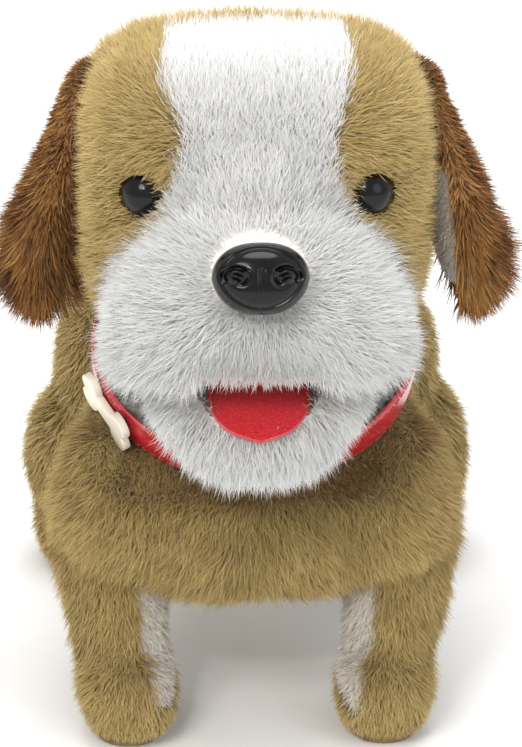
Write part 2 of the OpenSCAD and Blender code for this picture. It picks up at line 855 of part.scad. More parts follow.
module compound(y, x0) {
    color(PLASTIC) translate([0, y, gear_z]) {
        gear(large_n, x0, gear_t, gear_axle_r + play, gap_behind(large_n));
        gear(small_n, x0 + gear_t, layer + 0.3, gear_axle_r + play);
    }
}

module first_gear() {
    compound(first_y, gear_x0);
}

module second_gear() {
    compound(second_y, gear_x0 + layer);
}

module crank_gear() {
    color(PLASTIC) translate([0, crank_y, gear_z])
        gear(crank_n, gear_x0 + 2 * layer, gear_t - 0.2, axle_d / 2, gap_behind(crank_n));
}

module crank_shaft() {
    color(STEEL) translate([0, crank_y, gear_z]) x_rod(axle_d / 2, -lever_x0 - 1, lever_x0 + 1);
}

module cranks() {
    for (side = [LEFT, RIGHT])
        color(PLASTIC) translate([0, crank_y, gear_z]) mirror([side > 0 ? 0 : 1, 0, 0]) {
            difference() {
                x_rod(crank_r + 4, lever_x0, lever_x0 + 2);
                x_rod(axle_d / 2, lever_x0 - 1, lever_x0 + 1);
            }
            translate([0, side * crank_r, 0]) x_rod(1.5, lever_x0 + 2, link_x0 - 0.4);
        }
}

// ---------- legs ----------

// Lever, shoe and the peg that carries the link, for a leg on the left
module lever_form(pivot_y, paw_x, paw_dy) {
    pivot = [pivot_y, pivot_z];
    ankle = [pivot_y + paw_dy, sole_t + 8];
    shoe_x1 = paw_x + 5;
    difference() {
        union() {
            side_plate(lever_x0, lever_x1) {
                bar2d(pivot, pivot + [0, arm_l], 3.8);
                bar2d(pivot, ankle, 5);
                translate(pivot) circle(hub_r, $fn = 48);
            }
            translate([0, pivot_y, pivot_z + arm_l]) x_rod(peg_r, lever_x1, peg_x1);
            translate([lever_x0, pivot_y + paw_dy - 8, sole_t + 0.1]) cube([shoe_x1 - lever_x0, 16, 4]);
            translate([paw_x - 5, pivot_y + paw_dy - 8, sole_t + 0.1]) cube([10, 16, 4]);
        }
        translate([0, pivot_y, pivot_z]) x_rod(axle_d / 2 + play, 0, far);
    }
}

module leg_form(pivot_y, paw_x, paw_dy) {
    hull() {
        translate([0, pivot_y, pivot_z]) x_rod(thigh_inner_r, thigh_x0, thigh_x1, 32);
        translate([0, pivot_y, pivot_z]) x_rod(thigh_r, collar_rx + strap_t + bone_t + 1.2, thigh_x1 - 2.6, 32);
        translate([0, pivot_y, pivot_z]) x_rod(thigh_r - 4, thigh_x0 + 6, thigh_x1, 32);
        translate([paw_x, pivot_y + paw_dy, paw_r + 2]) sphere(paw_r, $fn = soft_fn);
        translate([paw_x, pivot_y + paw_dy - 3, paw_r]) sphere(paw_r - 1, $fn = soft_fn);
    }
}

module leg_skin_form(pivot_y, paw_x, paw_dy) {
    pivot = [pivot_y, pivot_z];
    ankle = [pivot_y + paw_dy, sole_t + 8];
    difference() {
        leg_form(pivot_y, paw_x, paw_dy);
        translate([-far, -far, pivot_z - 22]) cube([far + thigh_x0 - 0.2, 2 * far, far]);
        side_plate(lever_x0 - gap, lever_x1 + gap) bar2d(pivot, ankle, 5 + gap);
        translate([min(lever_x0, paw_x - 5) - gap, pivot_y + paw_dy - 8 - gap, -1])
            cube([paw_x + 5 - min(lever_x0, paw_x - 5) + 2 * gap, 16 + 2 * gap, sole_t + 5.6]);
        translate([-far, -far, -far]) cube([2 * far, 2 * far, far + sole_t + 0.1]);
    }
}

module sole_form(pivot_y, paw_x, paw_dy) {
    translate([paw_x, pivot_y + paw_dy, 0]) difference() {
        linear_extrude(sole_t) {
            square([16, 10], center = true);
            for (y = [-5, 5]) translate([0, y]) circle(8, $fn = 48);
        }
        for (i = [-2:2]) translate([-far, 4 * i - 0.5, -1]) cube([2 * far, 1, 1.6]);
    }
}

module on_side(side) {
    mirror([side > 0 ? 0 : 1, 0, 0]) children();
}

module lever(side, pivot_y, paw_x, paw_dy) {
    color(PLASTIC) on_side(side) lever_form(pivot_y, paw_x, paw_dy);
}

module leg_skin(side, pivot_y, paw_x, paw_dy) {
    color(TAN) on_side(side) leg_skin_form(pivot_y, paw_x, paw_dy);
}

module sole(side, pivot_y, paw_x, paw_dy) {
    color("#4a3a2c") on_side(side) sole_form(pivot_y, paw_x, paw_dy);
}

// Walking link: joins the two levers of one side, with a slot for the crank's pin
module link(side) {
    z = pivot_z + arm_l;
    slot_h = crank_r + 2;
    color("#2f3134") on_side(side) side_plate(link_x0, link_x1) difference() {
        union() {
            bar2d([-shoulder_y, z], [hip_y, z], 3.2);
            bar2d([crank_y, gear_z - slot_h], [crank_y, gear_z + slot_h], 4.6);
        }
        translate([-shoulder_y, z]) circle(peg_r + play, $fn = 48);
        translate([hip_y, z]) circle(peg_r + play, $fn = 48);
        bar2d([crank_y, gear_z - slot_h + 1], [crank_y, gear_z + slot_h - 1], 1.8);
    }
}

// ---------- tail ----------

module tail_lever() {
    color(PLASTIC) difference() {
        translate([0, tail_pin_y, tail_z]) {
            cylinder(r = 4, h = 6, center = true);
            translate([-2, 0, -2]) cube([4, tail_end_y - tail_r - tail_pin_y, 4]);
        }
        translate([0, tail_pin_y, tail_z]) cylinder(r = 1.5 + play, h = 20, center = true, $fn = 32);
    }
}

module tail_skin() {
    root = tail_end_y - tail_r;
    color(TAN) difference() {
        hull() {
            translate([0, root, tail_z]) sphere(tail_r, $fn = soft_fn);
            translate([0, root + 1, tail_z + 14]) sphere(tail_r - 1, $fn = soft_fn);
            translate([0, root - 2, tail_z + 28]) sphere(tail_r - 2.6, $fn = soft_fn);
        }
        translate([-2.4, 0, tail_z - 2.4]) cube([4.8, root + 0.4, 4.8]);
    }
}

head_skin();
skull_front();
skull_back();
nose();
eye(LEFT);  // eye_left
eye(RIGHT);  // eye_right
face_washers();
mouth_lining();
neck_lever();
skull_screws();
jaw_pin();
jaw_lever();
jaw_skin();
tongue();
color(BROWN) ear(LEFT, 0, 3);  // ear_left_pile
color(WHITE) ear(LEFT, -1.6, -0.05);  // ear_left_lining
color(BROWN) ear(RIGHT, 0, 3);  // ear_right_pile
color(WHITE) ear(RIGHT, -1.6, -0.05);  // ear_right_lining
body_skin();
case_left();
case_right();
case_screws();
battery_tray();
cells();
battery_contacts();
circuit_board();
speaker();
motor();
nod_pin();
leg_axles();
gear_axles();
collar_strap();
collar_bone();
tail_pin();
battery_door();
door_screw();
power_switch();
pat_button();
motor_pinion();
first_gear();
second_gear();
crank_gear();
crank_shaft();
cranks();
lever(LEFT, -shoulder_y, front_paw_x, front_paw_dy);  // front_left_lever
leg_skin(LEFT, -shoulder_y, front_paw_x, front_paw_dy);  // front_left_skin
sole(LEFT, -shoulder_y, front_paw_x, front_paw_dy);  // front_left_sole
lever(RIGHT, -shoulder_y, front_paw_x, front_paw_dy);  // front_right_lever
leg_skin(RIGHT, -shoulder_y, front_paw_x, front_paw_dy);  // front_right_skin
sole(RIGHT, -shoulder_y, front_paw_x, front_paw_dy);  // front_right_sole
lever(LEFT, hip_y, rear_paw_x, rear_paw_dy);  // rear_left_lever
leg_skin(LEFT, hip_y, rear_paw_x, rear_paw_dy);  // rear_left_skin
sole(LEFT, hip_y, rear_paw_x, rear_paw_dy);  // rear_left_sole
lever(RIGHT, hip_y, rear_paw_x, rear_paw_dy);  // rear_right_lever
leg_skin(RIGHT, hip_y, rear_paw_x, rear_paw_dy);  // rear_right_skin
sole(RIGHT, hip_y, rear_paw_x, rear_paw_dy);  // rear_right_sole
link(LEFT);  // left_link
link(RIGHT);  // right_link
tail_lever();
tail_skin();
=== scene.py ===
"""Looks of a battery-driven walking plush puppy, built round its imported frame."""
import json
import math

import bmesh
import bpy
import numpy as np
from mathutils import Matrix, Vector, noise


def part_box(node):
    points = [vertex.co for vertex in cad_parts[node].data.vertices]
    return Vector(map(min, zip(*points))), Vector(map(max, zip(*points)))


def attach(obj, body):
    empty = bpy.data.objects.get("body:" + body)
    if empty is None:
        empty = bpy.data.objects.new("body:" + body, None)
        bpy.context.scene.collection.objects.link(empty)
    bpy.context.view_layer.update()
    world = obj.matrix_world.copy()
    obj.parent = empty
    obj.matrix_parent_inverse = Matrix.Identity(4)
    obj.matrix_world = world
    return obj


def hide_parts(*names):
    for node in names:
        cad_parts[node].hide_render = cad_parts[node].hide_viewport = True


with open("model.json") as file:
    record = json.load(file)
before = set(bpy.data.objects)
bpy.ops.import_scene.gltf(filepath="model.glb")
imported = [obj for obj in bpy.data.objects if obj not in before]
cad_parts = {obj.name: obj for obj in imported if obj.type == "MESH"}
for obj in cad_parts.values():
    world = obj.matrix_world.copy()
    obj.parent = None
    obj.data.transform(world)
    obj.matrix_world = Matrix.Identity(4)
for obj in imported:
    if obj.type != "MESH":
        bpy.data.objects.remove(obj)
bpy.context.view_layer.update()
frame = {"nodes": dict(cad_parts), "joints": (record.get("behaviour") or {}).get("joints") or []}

bl_info = {
    "name": "Walking Plush Puppy",
    "version": (1, 0, 0),
    "blender": (4, 5, 0),
    "location": "View3D > Sidebar > Puppy",
    "description": "Pile fabric skins, face, ears, collar and tail round a walking toy's case",
    "category": "Object",
}

BAKE_MAP = "OFBake"
LEFT, RIGHT = 1, -1
COLLAR_LEAN = math.radians(40)
FRONT_AXLE_Y, REAR_AXLE_Y, AXLE_Z = -0.040, 0.060, 0.066
# band along a strand over which the painted root shade fades into the strand's colour
ROOT_SHADE_BAND = (0.05, 0.75)
STRAY_SHARE = 0.005


# ---------- small tools ----------

def span(node):
    """Lowest and highest corner of a CAD node, as vectors."""
    low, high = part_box(node)
    return Vector(low), Vector(high)


def joint_at(name):
    return Vector(next(j["pos_m"] for j in frame["joints"] if j["name"] == name))


def colour(code):
    """Linear RGBA from an sRGB hex value."""
    parts = [int(code[i:i + 2], 16) / 255 for i in (1, 3, 5)]
    return [c / 12.92 if c <= 0.04045 else ((c + 0.055) / 1.055) ** 2.4 for c in parts] + [1.0]


def add(tree, kind, inputs=None, **settings):
    """Adds a node with its settings, and links or sets its inputs."""
    node = tree.nodes.new(kind)
    for name, value in settings.items():
        setattr(node, name, value)
    for key, value in (inputs or {}).items():
        if isinstance(value, bpy.types.NodeSocket):
            tree.links.new(value, node.inputs[key])
        else:
            node.inputs[key].default_value = value
    return node


def ramp(tree, fac, stops):
    """Colour ramp with hex colours at the given places."""
    node = add(tree, "ShaderNodeValToRGB", {"Fac": fac})
    line = node.color_ramp
    while len(line.elements) < len(stops):
        line.elements.new(0.5)
    for element, (place, code) in zip(line.elements, stops):
        element.position = place
        element.color = colour(code)
    return node.outputs["Color"]


def place_object(name, mesh):
    ob = bpy.data.objects.new(name, mesh)
    bpy.context.scene.collection.objects.link(ob)
    return ob


def finished(ob, smooth=True):
    """Applies an object's modifiers and leaves a plain mesh under the same name."""
    name, old = ob.name, ob.data
    deps = bpy.context.evaluated_depsgraph_get()
    mesh = bpy.data.meshes.new_from_object(ob.evaluated_get(deps), depsgraph=deps)
    bpy.data.objects.remove(ob)
    if old.users == 0:
        bpy.data.meshes.remove(old)
    mesh.name = name
    if smooth:
        mesh.shade_smooth()
    return place_object(name, mesh)


def mesh_from(bm, name):
    mesh = bpy.data.meshes.new(name)
    bm.to_mesh(mesh)
    bm.free()
    return mesh


def drop(*objects):
    for ob in objects:
        mesh = ob.data
        bpy.data.objects.remove(ob)
        if mesh.users == 0:
            bpy.data.meshes.remove(mesh)


def attribute(mesh, name, values, kind="FLOAT"):
    values = np.asarray(values, np.float32)
    layer = mesh.attributes.new(name, kind, "POINT")
    layer.data.foreach_set("vector" if kind == "FLOAT_VECTOR" else "value", values.ravel())


def points_of(mesh, what="co"):
    out = np.empty(len(mesh.vertices) * 3, np.float32)
    if what == "co":
        mesh.vertices.foreach_get("co", out)
    else:
        mesh.vertex_normals.foreach_get("vector", out)
    return out.reshape(-1, 3)


def reshape(ob, points):
    """Moves an object's points and returns its new normals."""
    ob.data.vertices.foreach_set("co", points.astype(np.float32).ravel())
    ob.data.update()
    return points_of(ob.data, "normal")


def unit(v):
    return v / np.maximum(np.linalg.norm(v, axis=-1, keepdims=True), 1e-9)


def along_surface(direction, normals):
    """The part of a direction that lies in the surface."""
    direction = np.broadcast_to(direction, normals.shape)
    return unit(direction - (direction * normals).sum(1, keepdims=True) * normals)


def ripple(points, size, seed=0.0):
    """Smooth noise from -1 to 1 at points, with features of a given size."""
    shift = Vector((seed, seed * 1.7, seed * 0.3))
    return np.array([noise.noise(Vector(p) / size + shift) for p in points.tolist()], np.float32)


def step(value, low, high):
    t = np.clip((value - low) / (high - low), 0, 1)
    return t * t * (3 - 2 * t)


# ---------- forms ----------

def ball(bm, centre, radii, power=2.0, turn=None):
    """Adds a stretched ball; a power above 2 squares it off."""
    made = bmesh.ops.create_icosphere(bm, subdivisions=4, radius=1.0)["verts"]
    for v in made:
        size = sum(abs(c) ** power for c in v.co) ** (-1 / power)
        v.co = Vector(c * size * r for c, r in zip(v.co, radii))
        if turn:
            v.co = turn @ v.co
        v.co += Vector(centre)


def limb(bm, start, end, r0, r1, steps=8):
    """Adds a tapered round limb as a chain of balls."""
    start, end = Vector(start), Vector(end)
    for i in range(steps + 1):
        t = i / steps
        r = r0 + (r1 - r0) * t
        ball(bm, start.lerp(end, t), (r, r, r))


def padded_form(name, build, voxel, rounds):
    """Melts overlapping balls into one stuffed form and rounds it off."""
    bm = bmesh.new()
    build(bm)
    ob = place_object(name, mesh_from(bm, name))
    melt = ob.modifiers.new("Melt", "REMESH")
    melt.mode = "VOXEL"
    melt.voxel_size = voxel
    melt.adaptivity = 0
    relax = ob.modifiers.new("Relax", "SMOOTH")
    relax.factor = 0.5
    relax.iterations = rounds
    return finished(ob)


def stuffing(ob, size, depth, seed):
    """Uneven filling: pushes the surface in and out in soft lumps."""
    p, n = points_of(ob.data), points_of(ob.data, "normal")
    p = p + n * (ripple(p, size, seed) * depth)[:, None]
    reshape(ob, p)


def lathe(profile, segments=48):
    """Mesh turned about Z from (radius, height) points that start and end on the axis."""
    bm = bmesh.new()
    rings = []
    for r, z in profile:
        if r < 1e-7:
            rings.append([bm.verts.new((0, 0, z))])
        else:
            angles = [2 * math.pi * i / segments for i in range(segments)]
            rings.append([bm.verts.new((r * math.cos(a), r * math.sin(a), z)) for a in angles])
    for low, high in zip(rings, rings[1:]):
        for i in range(segments):
            j = (i + 1) % segments
            corners = [low[i % len(low)], low[j % len(low)], high[j % len(high)], high[i % len(high)]]
            bm.faces.new(list(dict.fromkeys(corners)))
    bmesh.ops.recalc_face_normals(bm, faces=bm.faces)
    mesh = mesh_from(bm, "turned")
    mesh.shade_smooth()
    return mesh


# ---------- pile ----------

def blade(name, bends, widths):
    """One strand of pile: a thin leaf that rises along Z and bends towards X."""
    count = len(bends)
    verts, faces, ends = [], [], []
    for i, (bend, width) in enumerate(zip(bends, widths)):
        t = i / (count - 1)
        if width > 0:
            verts += [(bend, -width / 2, t), (bend, width / 2, t)]
            ends += [(0.0, t), (1.0, t)]
        else:
            verts.append((bend, 0, t))
            ends.append((0.5, t))
    for i in range(count - 1):
        a = 2 * i
        faces.append((a, a + 1, a + 3, a + 2) if widths[i + 1] > 0 else (a, a + 1, a + 2))
    mesh = bpy.data.meshes.new(name)
    mesh.from_pydata(verts, [], faces)
    layer = mesh.uv_layers.new(name="Strand")
    for loop in mesh.loops:
        layer.data[loop.index].uv = ends[loop.vertex_index]
    return place_object(name, mesh)


def pile_tree():
    """Geometry Nodes that plant strands over a fabric and comb them."""
    tree = bpy.data.node_groups.new("Pile", "GeometryNodeTree")
    ins = {}
    for name, kind, value in (
        ("Fabric", "NodeSocketGeometry", None), ("Strand", "NodeSocketObject", None),
        ("Strands per Square Metre", "NodeSocketFloat", 1e6), ("Length", "NodeSocketFloat", 0.006),
        ("Width", "NodeSocketFloat", 0.0003), ("Lean", "NodeSocketFloat", 1.0),
        ("Scatter", "NodeSocketFloat", 0.3), ("Tuft Size", "NodeSocketFloat", 0.004),
        ("Tufting", "NodeSocketFloat", 0.6), ("Tone Spread", "NodeSocketFloat", 0.15),
        ("Seed", "NodeSocketInt", 1), ("Material", "NodeSocketMaterial", None),
    ):
        socket = tree.interface.new_socket(name, in_out="INPUT", socket_type=kind)
        if value is not None:
            socket.default_value = value
        ins[name] = socket
    tree.interface.new_socket("Pile", in_out="OUTPUT", socket_type="NodeSocketGeometry")
    given = add(tree, "NodeGroupInput").outputs

    def named(name, kind="FLOAT"):
        node = add(tree, "GeometryNodeInputNamedAttribute", {"Name": name}, data_type=kind)
        return node.outputs["Attribute"]

    def calc(operation, *values):
        node = add(tree, "ShaderNodeMath", dict(enumerate(values)), operation=operation)
        return node.outputs[0]

    def vector(operation, *values, scale=None):
        inputs = dict(enumerate(values))
        if scale is not None:
            inputs["Scale"] = scale
        return add(tree, "ShaderNodeVectorMath", inputs, operation=operation).outputs["Vector"]

    def chance(low, high, offset):
        seed = calc("ADD", given["Seed"], offset)
        node = add(tree, "FunctionNodeRandomValue", {"Seed": seed}, data_type="FLOAT")
        node.inputs[2].default_value, node.inputs[3].default_value = low, high
        return node.outputs[1]

    density = calc("MULTIPLY", given["Strands per Square Metre"], named("cover"))
    plant = add(tree, "GeometryNodeDistributePointsOnFaces",
                {"Mesh": given["Fabric"], "Density": density, "Seed": given["Seed"]},
                distribute_method="RANDOM")
    scatter = add(tree, "FunctionNodeRandomValue", {"Seed": calc("ADD", given["Seed"], 11)},
                  data_type="FLOAT_VECTOR")
    scatter.inputs[0].default_value, scatter.inputs[1].default_value = (-1, -1, -1), (1, 1, 1)
    here = add(tree, "GeometryNodeInputPosition").outputs[0]
    cells = add(tree, "ShaderNodeTexNoise", {"Vector": here, "Scale": calc("DIVIDE", 1.0, given["Tuft Size"]),
                                             "Detail": 1.0})
    tuft = vector("SUBTRACT", cells.outputs["Color"], (0.5, 0.5, 0.5))
    comb = named("comb", "FLOAT_VECTOR")
    lean = vector("SCALE", comb, scale=given["Lean"])
    way = vector("ADD", plant.outputs["Normal"], lean)
    way = vector("ADD", way, vector("SCALE", tuft, scale=given["Tufting"]))
    way = vector("ADD", way, vector("SCALE", scatter.outputs[0], scale=given["Scatter"]))
    stand = add(tree, "FunctionNodeAlignRotationToVector", {"Vector": way}, axis="Z")
    face = add(tree, "FunctionNodeAlignRotationToVector", {"Rotation": stand.outputs[0], "Vector": comb},
               axis="X", pivot_axis="Z")
    spin = add(tree, "ShaderNodeCombineXYZ", {"Z": chance(-0.9, 0.9, 23)})
    turn = add(tree, "FunctionNodeRotateRotation",
               {"Rotation": face.outputs[0], "Rotate By": spin.outputs[0]}, rotation_space="LOCAL")
    length = calc("MULTIPLY", calc("MULTIPLY", given["Length"], named("pile")), chance(0.62, 1.08, 37))
    size = add(tree, "ShaderNodeCombineXYZ", {"X": length, "Y": given["Width"], "Z": length})
    strand = add(tree, "GeometryNodeObjectInfo", {"Object": given["Strand"]})
    grown = add(tree, "GeometryNodeInstanceOnPoints",
                {"Points": plant.outputs["Points"], "Instance": strand.outputs["Geometry"],
                 "Rotation": turn.outputs[0], "Scale": size.outputs[0]})
    # a few stray fibres take any shade, which widens each piece's span across the bake map
    spread = calc("MULTIPLY", chance(-1.0, 1.0, 53), given["Tone Spread"])
    stray = calc("MULTIPLY", calc("LESS_THAN", chance(0.0, 1.0, 71), STRAY_SHARE), chance(-1.2, 1.2, 83))
    tone = add(tree, "ShaderNodeClamp", {"Value": calc("ADD", calc("ADD", named("tone"), spread), stray)})
    toned = add(tree, "GeometryNodeStoreNamedAttribute",
                {"Geometry": grown.outputs[0], "Name": "tone", "Value": tone.outputs[0]},
                data_type="FLOAT", domain="INSTANCE")
    real = add(tree, "GeometryNodeRealizeInstances", {"Geometry": toned.outputs[0]})
    ends = add(tree, "ShaderNodeSeparateXYZ", {0: named("Strand", "FLOAT_VECTOR")})
    u = calc("ADD", calc("MULTIPLY_ADD", named("tone"), 0.92, 0.03), calc("MULTIPLY", ends.outputs[0], 0.02))
    v = calc("MULTIPLY_ADD", ends.outputs[1], 0.96, 0.02)
    where = add(tree, "ShaderNodeCombineXYZ", {"X": u, "Y": v})
    mapped = add(tree, "GeometryNodeStoreNamedAttribute",
                 {"Geometry": real.outputs[0], "Name": BAKE_MAP, "Value": where.outputs[0]},
                 data_type="FLOAT2", domain="CORNER")
    last = mapped.outputs[0]
    for spare in ("Strand", "tone", "comb", "pile", "cover"):
        last = add(tree, "GeometryNodeRemoveAttribute", {"Geometry": last, "Name": spare}).outputs[0]
    done = add(tree, "GeometryNodeSetMaterial", {"Geometry": last, "Material": given["Material"]})
    add(tree, "NodeGroupOutput", {"Pile": done.outputs[0]})
    return tree


def comb_fabric(ob, comb, pile, tone, cover):
    """Stores how the pile lies on a fabric: its direction, length, shade and cover."""
    for name in ("comb", "pile", "tone", "cover"):
        if name in ob.data.attributes:
            ob.data.attributes.remove(ob.data.attributes[name])
    count = len(ob.data.vertices)
    attribute(ob.data, "comb", np.broadcast_to(comb, (count, 3)), "FLOAT_VECTOR")
    for name, values in (("pile", pile), ("tone", tone), ("cover", cover)):
        attribute(ob.data, name, np.broadcast_to(values, (count,)))


def grow(name, fabric, strand, material, body, tree, **sizes):
    """Plants one piece of pile on a combed fabric and makes it a plain mesh that rides on a body."""
    ob = place_object(name, fabric.data.copy())
    ob.data.materials.clear()
    nodes = ob.modifiers.new("Pile", "NODES")
    nodes.node_group = tree
    values = {"Strand": strand, "Material": material, **sizes}
    for item in tree.interface.items_tree:
        if item.in_out == "INPUT" and item.name in values:
            nodes[item.identifier] = values[item.name]
    ob = finished(ob, smooth=False)
    ob.data.shade_smooth()
    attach(ob, body)
    return ob


# ---------- finishes ----------

def shader(name, **constants):
    """A new material with its Principled shader's plain values set on its own sockets."""
    material = bpy.data.materials.new(name)
    material.use_nodes = True
    tree = material.node_tree
    bsdf = tree.nodes["Principled BSDF"]
    for socket, value in constants.items():
        bsdf.inputs[socket.replace("_", " ")].default_value = value
    return material, tree, bsdf


def object_noise(tree, grain, detail=2.0, stretch=(1, 1, 1)):
    """Noise fixed to the object, with grain given in metres."""
    where = add(tree, "ShaderNodeTexCoord").outputs["Object"]
    moved = add(tree, "ShaderNodeMapping", {"Vector": where, "Scale": stretch})
    return add(tree, "ShaderNodeTexNoise", {"Vector": moved.outputs[0], "Scale": 1 / grain, "Detail": detail})


def tint_base(tree, bsdf, fac, *stops):
    """Colours the surface by a ramp along a value."""
    tree.links.new(ramp(tree, fac, stops), bsdf.inputs["Base Color"])


def relief(tree, bsdf, height, depth, strength=0.5):
    bump = add(tree, "ShaderNodeBump", {"Height": height, "Distance": depth, "Strength": strength})
    tree.links.new(bump.outputs[0], bsdf.inputs["Normal"])


def pile_finish(name, root, stops):
    """Polyester pile: matt fibres, darker at the root with painted shade, shaded strand by strand along the
    fabric's tone.
    """
    material, tree, bsdf = shader(name, Roughness=0.72, Specular_IOR_Level=0.28, Sheen_Weight=0.15,
                                  Sheen_Roughness=0.5)
    where = add(tree, "ShaderNodeUVMap", uv_map=BAKE_MAP)
    ends = add(tree, "ShaderNodeSeparateXYZ", {0: where.outputs[0]})
    tint = ramp(tree, ends.outputs[0], stops)
    # painted shade: the strand darkens towards its root
    depth = add(tree, "ShaderNodeMapRange", {"Value": ends.outputs[1], "From Min": ROOT_SHADE_BAND[0],
                                                  "From Max": ROOT_SHADE_BAND[1]})
    mixed = add(tree, "ShaderNodeMix", {"Factor": depth.outputs[0]}, data_type="RGBA")
    mixed.inputs[6].default_value = colour(root)
    tree.links.new(tint, mixed.inputs[7])
    tree.links.new(mixed.outputs[2], bsdf.inputs["Base Color"])
    return material


def backing_finish(name, low, high):
    """Knitted backing cloth under the pile, with loops about 0.8 mm apart."""
    material, tree, bsdf = shader(name, Roughness=0.9, Specular_IOR_Level=0.2, Sheen_Weight=0.1)
    loops = object_noise(tree, 0.0008, 1.0)
    tint_base(tree, bsdf, loops.outputs["Fac"], (0.3, low), (0.7, high))
    relief(tree, bsdf, loops.outputs["Fac"], 0.0003)
    return material


def moulded_finish(name, low, high, rough, grain=0.0007, depth=0.00004, **more):
    """Injection-moulded plastic: faint flow shading and a fine spark-eroded grain."""
    material, tree, bsdf = shader(name, Roughness=rough, IOR=1.5, **more)
    flow = object_noise(tree, 0.012, 3.0)
    tint_base(tree, bsdf, flow.outputs["Fac"], (0.35, low), (0.65, high))
    relief(tree, bsdf, object_noise(tree, grain).outputs["Fac"], depth, 0.4)
    return material


def felt_finish():
    """Needled polyester felt: matted fibres about 0.3 mm across, soft and without shine."""
    material, tree, bsdf = shader("needled_felt_red", Roughness=0.95, Specular_IOR_Level=0.15,
                                  Sheen_Weight=0.35, Sheen_Roughness=0.5)
    fibres = object_noise(tree, 0.0005, 4.0, (1, 2.2, 1))
    tint_base(tree, bsdf, fibres.outputs["Fac"], (0.3, "#a3121c"), (0.55, "#c2202a"), (0.75, "#d8404a"))
    relief(tree, bsdf, fibres.outputs["Fac"], 0.0004, 0.6)
    return material


def vinyl_finish():
    """Coated vinyl strap: soft creases under a clear gloss that catches the lights."""
    material, tree, bsdf = shader("coated_vinyl_red", Roughness=0.3, Coat_Weight=0.6, Coat_Roughness=0.12)
    wear = object_noise(tree, 0.006, 3.0)
    tint_base(tree, bsdf, wear.outputs["Fac"], (0.3, "#a5141f"), (0.6, "#c01f2a"), (0.8, "#cf4650"))
    relief(tree, bsdf, object_noise(tree, 0.0009, 2.0, (1, 1, 2)).outputs["Fac"], 0.00012, 0.5)
    return material


def gloss_finish(name, low, high):
    """Polished black ABS with a wet shine and faint moulding ripple."""
    material, tree, bsdf = shader(name, Roughness=0.16, Specular_IOR_Level=0.36, IOR=1.45)
    ripples = object_noise(tree, 0.004, 2.0)
    tint_base(tree, bsdf, ripples.outputs["Fac"], (0.3, low), (0.7, high))
    relief(tree, bsdf, ripples.outputs["Fac"], 0.0001, 0.35)
    return material


def metal_finish(name, low, high, rough):
    """Bright drawn steel: brushed along its length, dulled in patches by handling."""
    material, tree, bsdf = shader(name, Metallic=1.0, Roughness=rough)
    brush = object_noise(tree, 0.0006, 2.0, (0.1, 1, 1))
    tint_base(tree, bsdf, brush.outputs["Fac"], (0.3, low), (0.7, high))
    relief(tree, bsdf, brush.outputs["Fac"], 0.00003, 0.4)
    return material


FINISHES = {}


def make_finishes():
    TAN = ((0.0, "#6a5a30"), (0.35, "#a48d56"), (0.6, "#c8af74"), (0.85, "#dcc48e"), (1.0, "#ead7ab"))
    # the white pile's grey stops carry painted shade, reached by the low tones of the muzzle, chin and throat
    WHITE = ((0.0, "#d99c94"), (0.14, "#c2b9b4"), (0.4, "#d0d1cf"), (0.7, "#e9e9e8"), (1.0, "#ffffff"))
    BROWN = ((0.0, "#4a2c10"), (0.35, "#7c5024"), (0.6, "#a06f36"), (0.85, "#c09558"), (1.0, "#d6b47e"))
    NAP = ((0.0, "#b9ab98"), (0.5, "#dcd5ca"), (1.0, "#f4f0ea"))
    FINISHES.update(
        # the second colour of each pile is its painted root shade
        tan_pile=pile_finish("polyester_pile_tan", "#8f7a48", TAN),
        white_pile=pile_finish("polyester_pile_white", "#d9d8d6", WHITE),
        brown_pile=pile_finish("polyester_pile_brown", "#5a3517", BROWN),
        nap=pile_finish("brushed_nap_white", "#c9c0b4", NAP),
        # the knitted backings are coloured like the pile's painted root shade
        tan_back=backing_finish("knit_backing_tan", "#8a7044", "#b0935c"),
        white_back=backing_finish("knit_backing_white", "#d2ccc4", "#efece8"),
        brown_back=backing_finish("knit_backing_brown", "#5a3618", "#7d4f26"),
        felt=felt_finish(), vinyl=vinyl_finish(),
        nose=gloss_finish("polished_abs_black", "#050506", "#0e0e10"),
        bone=moulded_finish("moulded_polystyrene_cream", "#e3dac6", "#f2ecdd", 0.32),
    )
    slots = {
        "case_plastic": moulded_finish("moulded_abs_ivory", "#cfc8b8", "#ddd7c9", 0.45),
        "dark_plastic": moulded_finish("moulded_abs_charcoal", "#26282b", "#34363a", 0.4),
        "gear_plastic": moulded_finish("moulded_acetal_white", "#dedbd2", "#eceae4", 0.35),
        "cream_plastic": FINISHES["bone"],
        "steel": metal_finish("drawn_steel", "#9a9a98", "#c4c4c2", 0.32),
        "speaker_metal": metal_finish("pressed_steel_speaker", "#77787a", "#9d9ea0", 0.45),
        "green_board": moulded_finish("glass_epoxy_green", "#1d4a2c", "#2c6a40", 0.35, 0.0012, 0.00006),
        "cell_wrap": moulded_finish("shrink_film_cells", "#2b2f36", "#3c424c", 0.25, 0.003, 0.00003),
        "sole_rubber": moulded_finish("moulded_rubber_tan", "#7d6a48", "#937e58", 0.85, 0.0005, 0.0001),
        "black_gloss": FINISHES["nose"], "red_strap": FINISHES["vinyl"], "red_felt": FINISHES["felt"],
        "tan_plush": FINISHES["tan_back"], "white_plush": FINISHES["white_back"],
        "brown_plush": FINISHES["brown_back"], "white_nap": FINISHES["white_back"],
    }
    for node in frame["nodes"].values():
        for place in node.material_slots:
            if place.material:
                place.material = slots[place.material.name.split(".")[0]]


def dress(ob, material, slot, body, *nodes):
    """Gives a finished piece its material and its body, and hides what it stands for."""
    ob.data.materials.clear()
    ob.data.materials.append(material)
    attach(ob, body)
    if nodes:
        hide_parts(*nodes)
    return ob


def pad(ob, base, other, mask, slot, body, *nodes, fill=0.7):
    """Finishes a stuffed form whose faces are one backing cloth, or another where the mask is high."""
    dress(ob, base, slot, body, *nodes)
    ob.data.materials.append(other)
    corners = np.array([np.mean(mask[list(p.vertices)]) for p in ob.data.polygons])
    ob.data.polygons.foreach_set("material_index", (corners > 0.5).astype(np.int32))
    return ob


# ---------- settings ----------

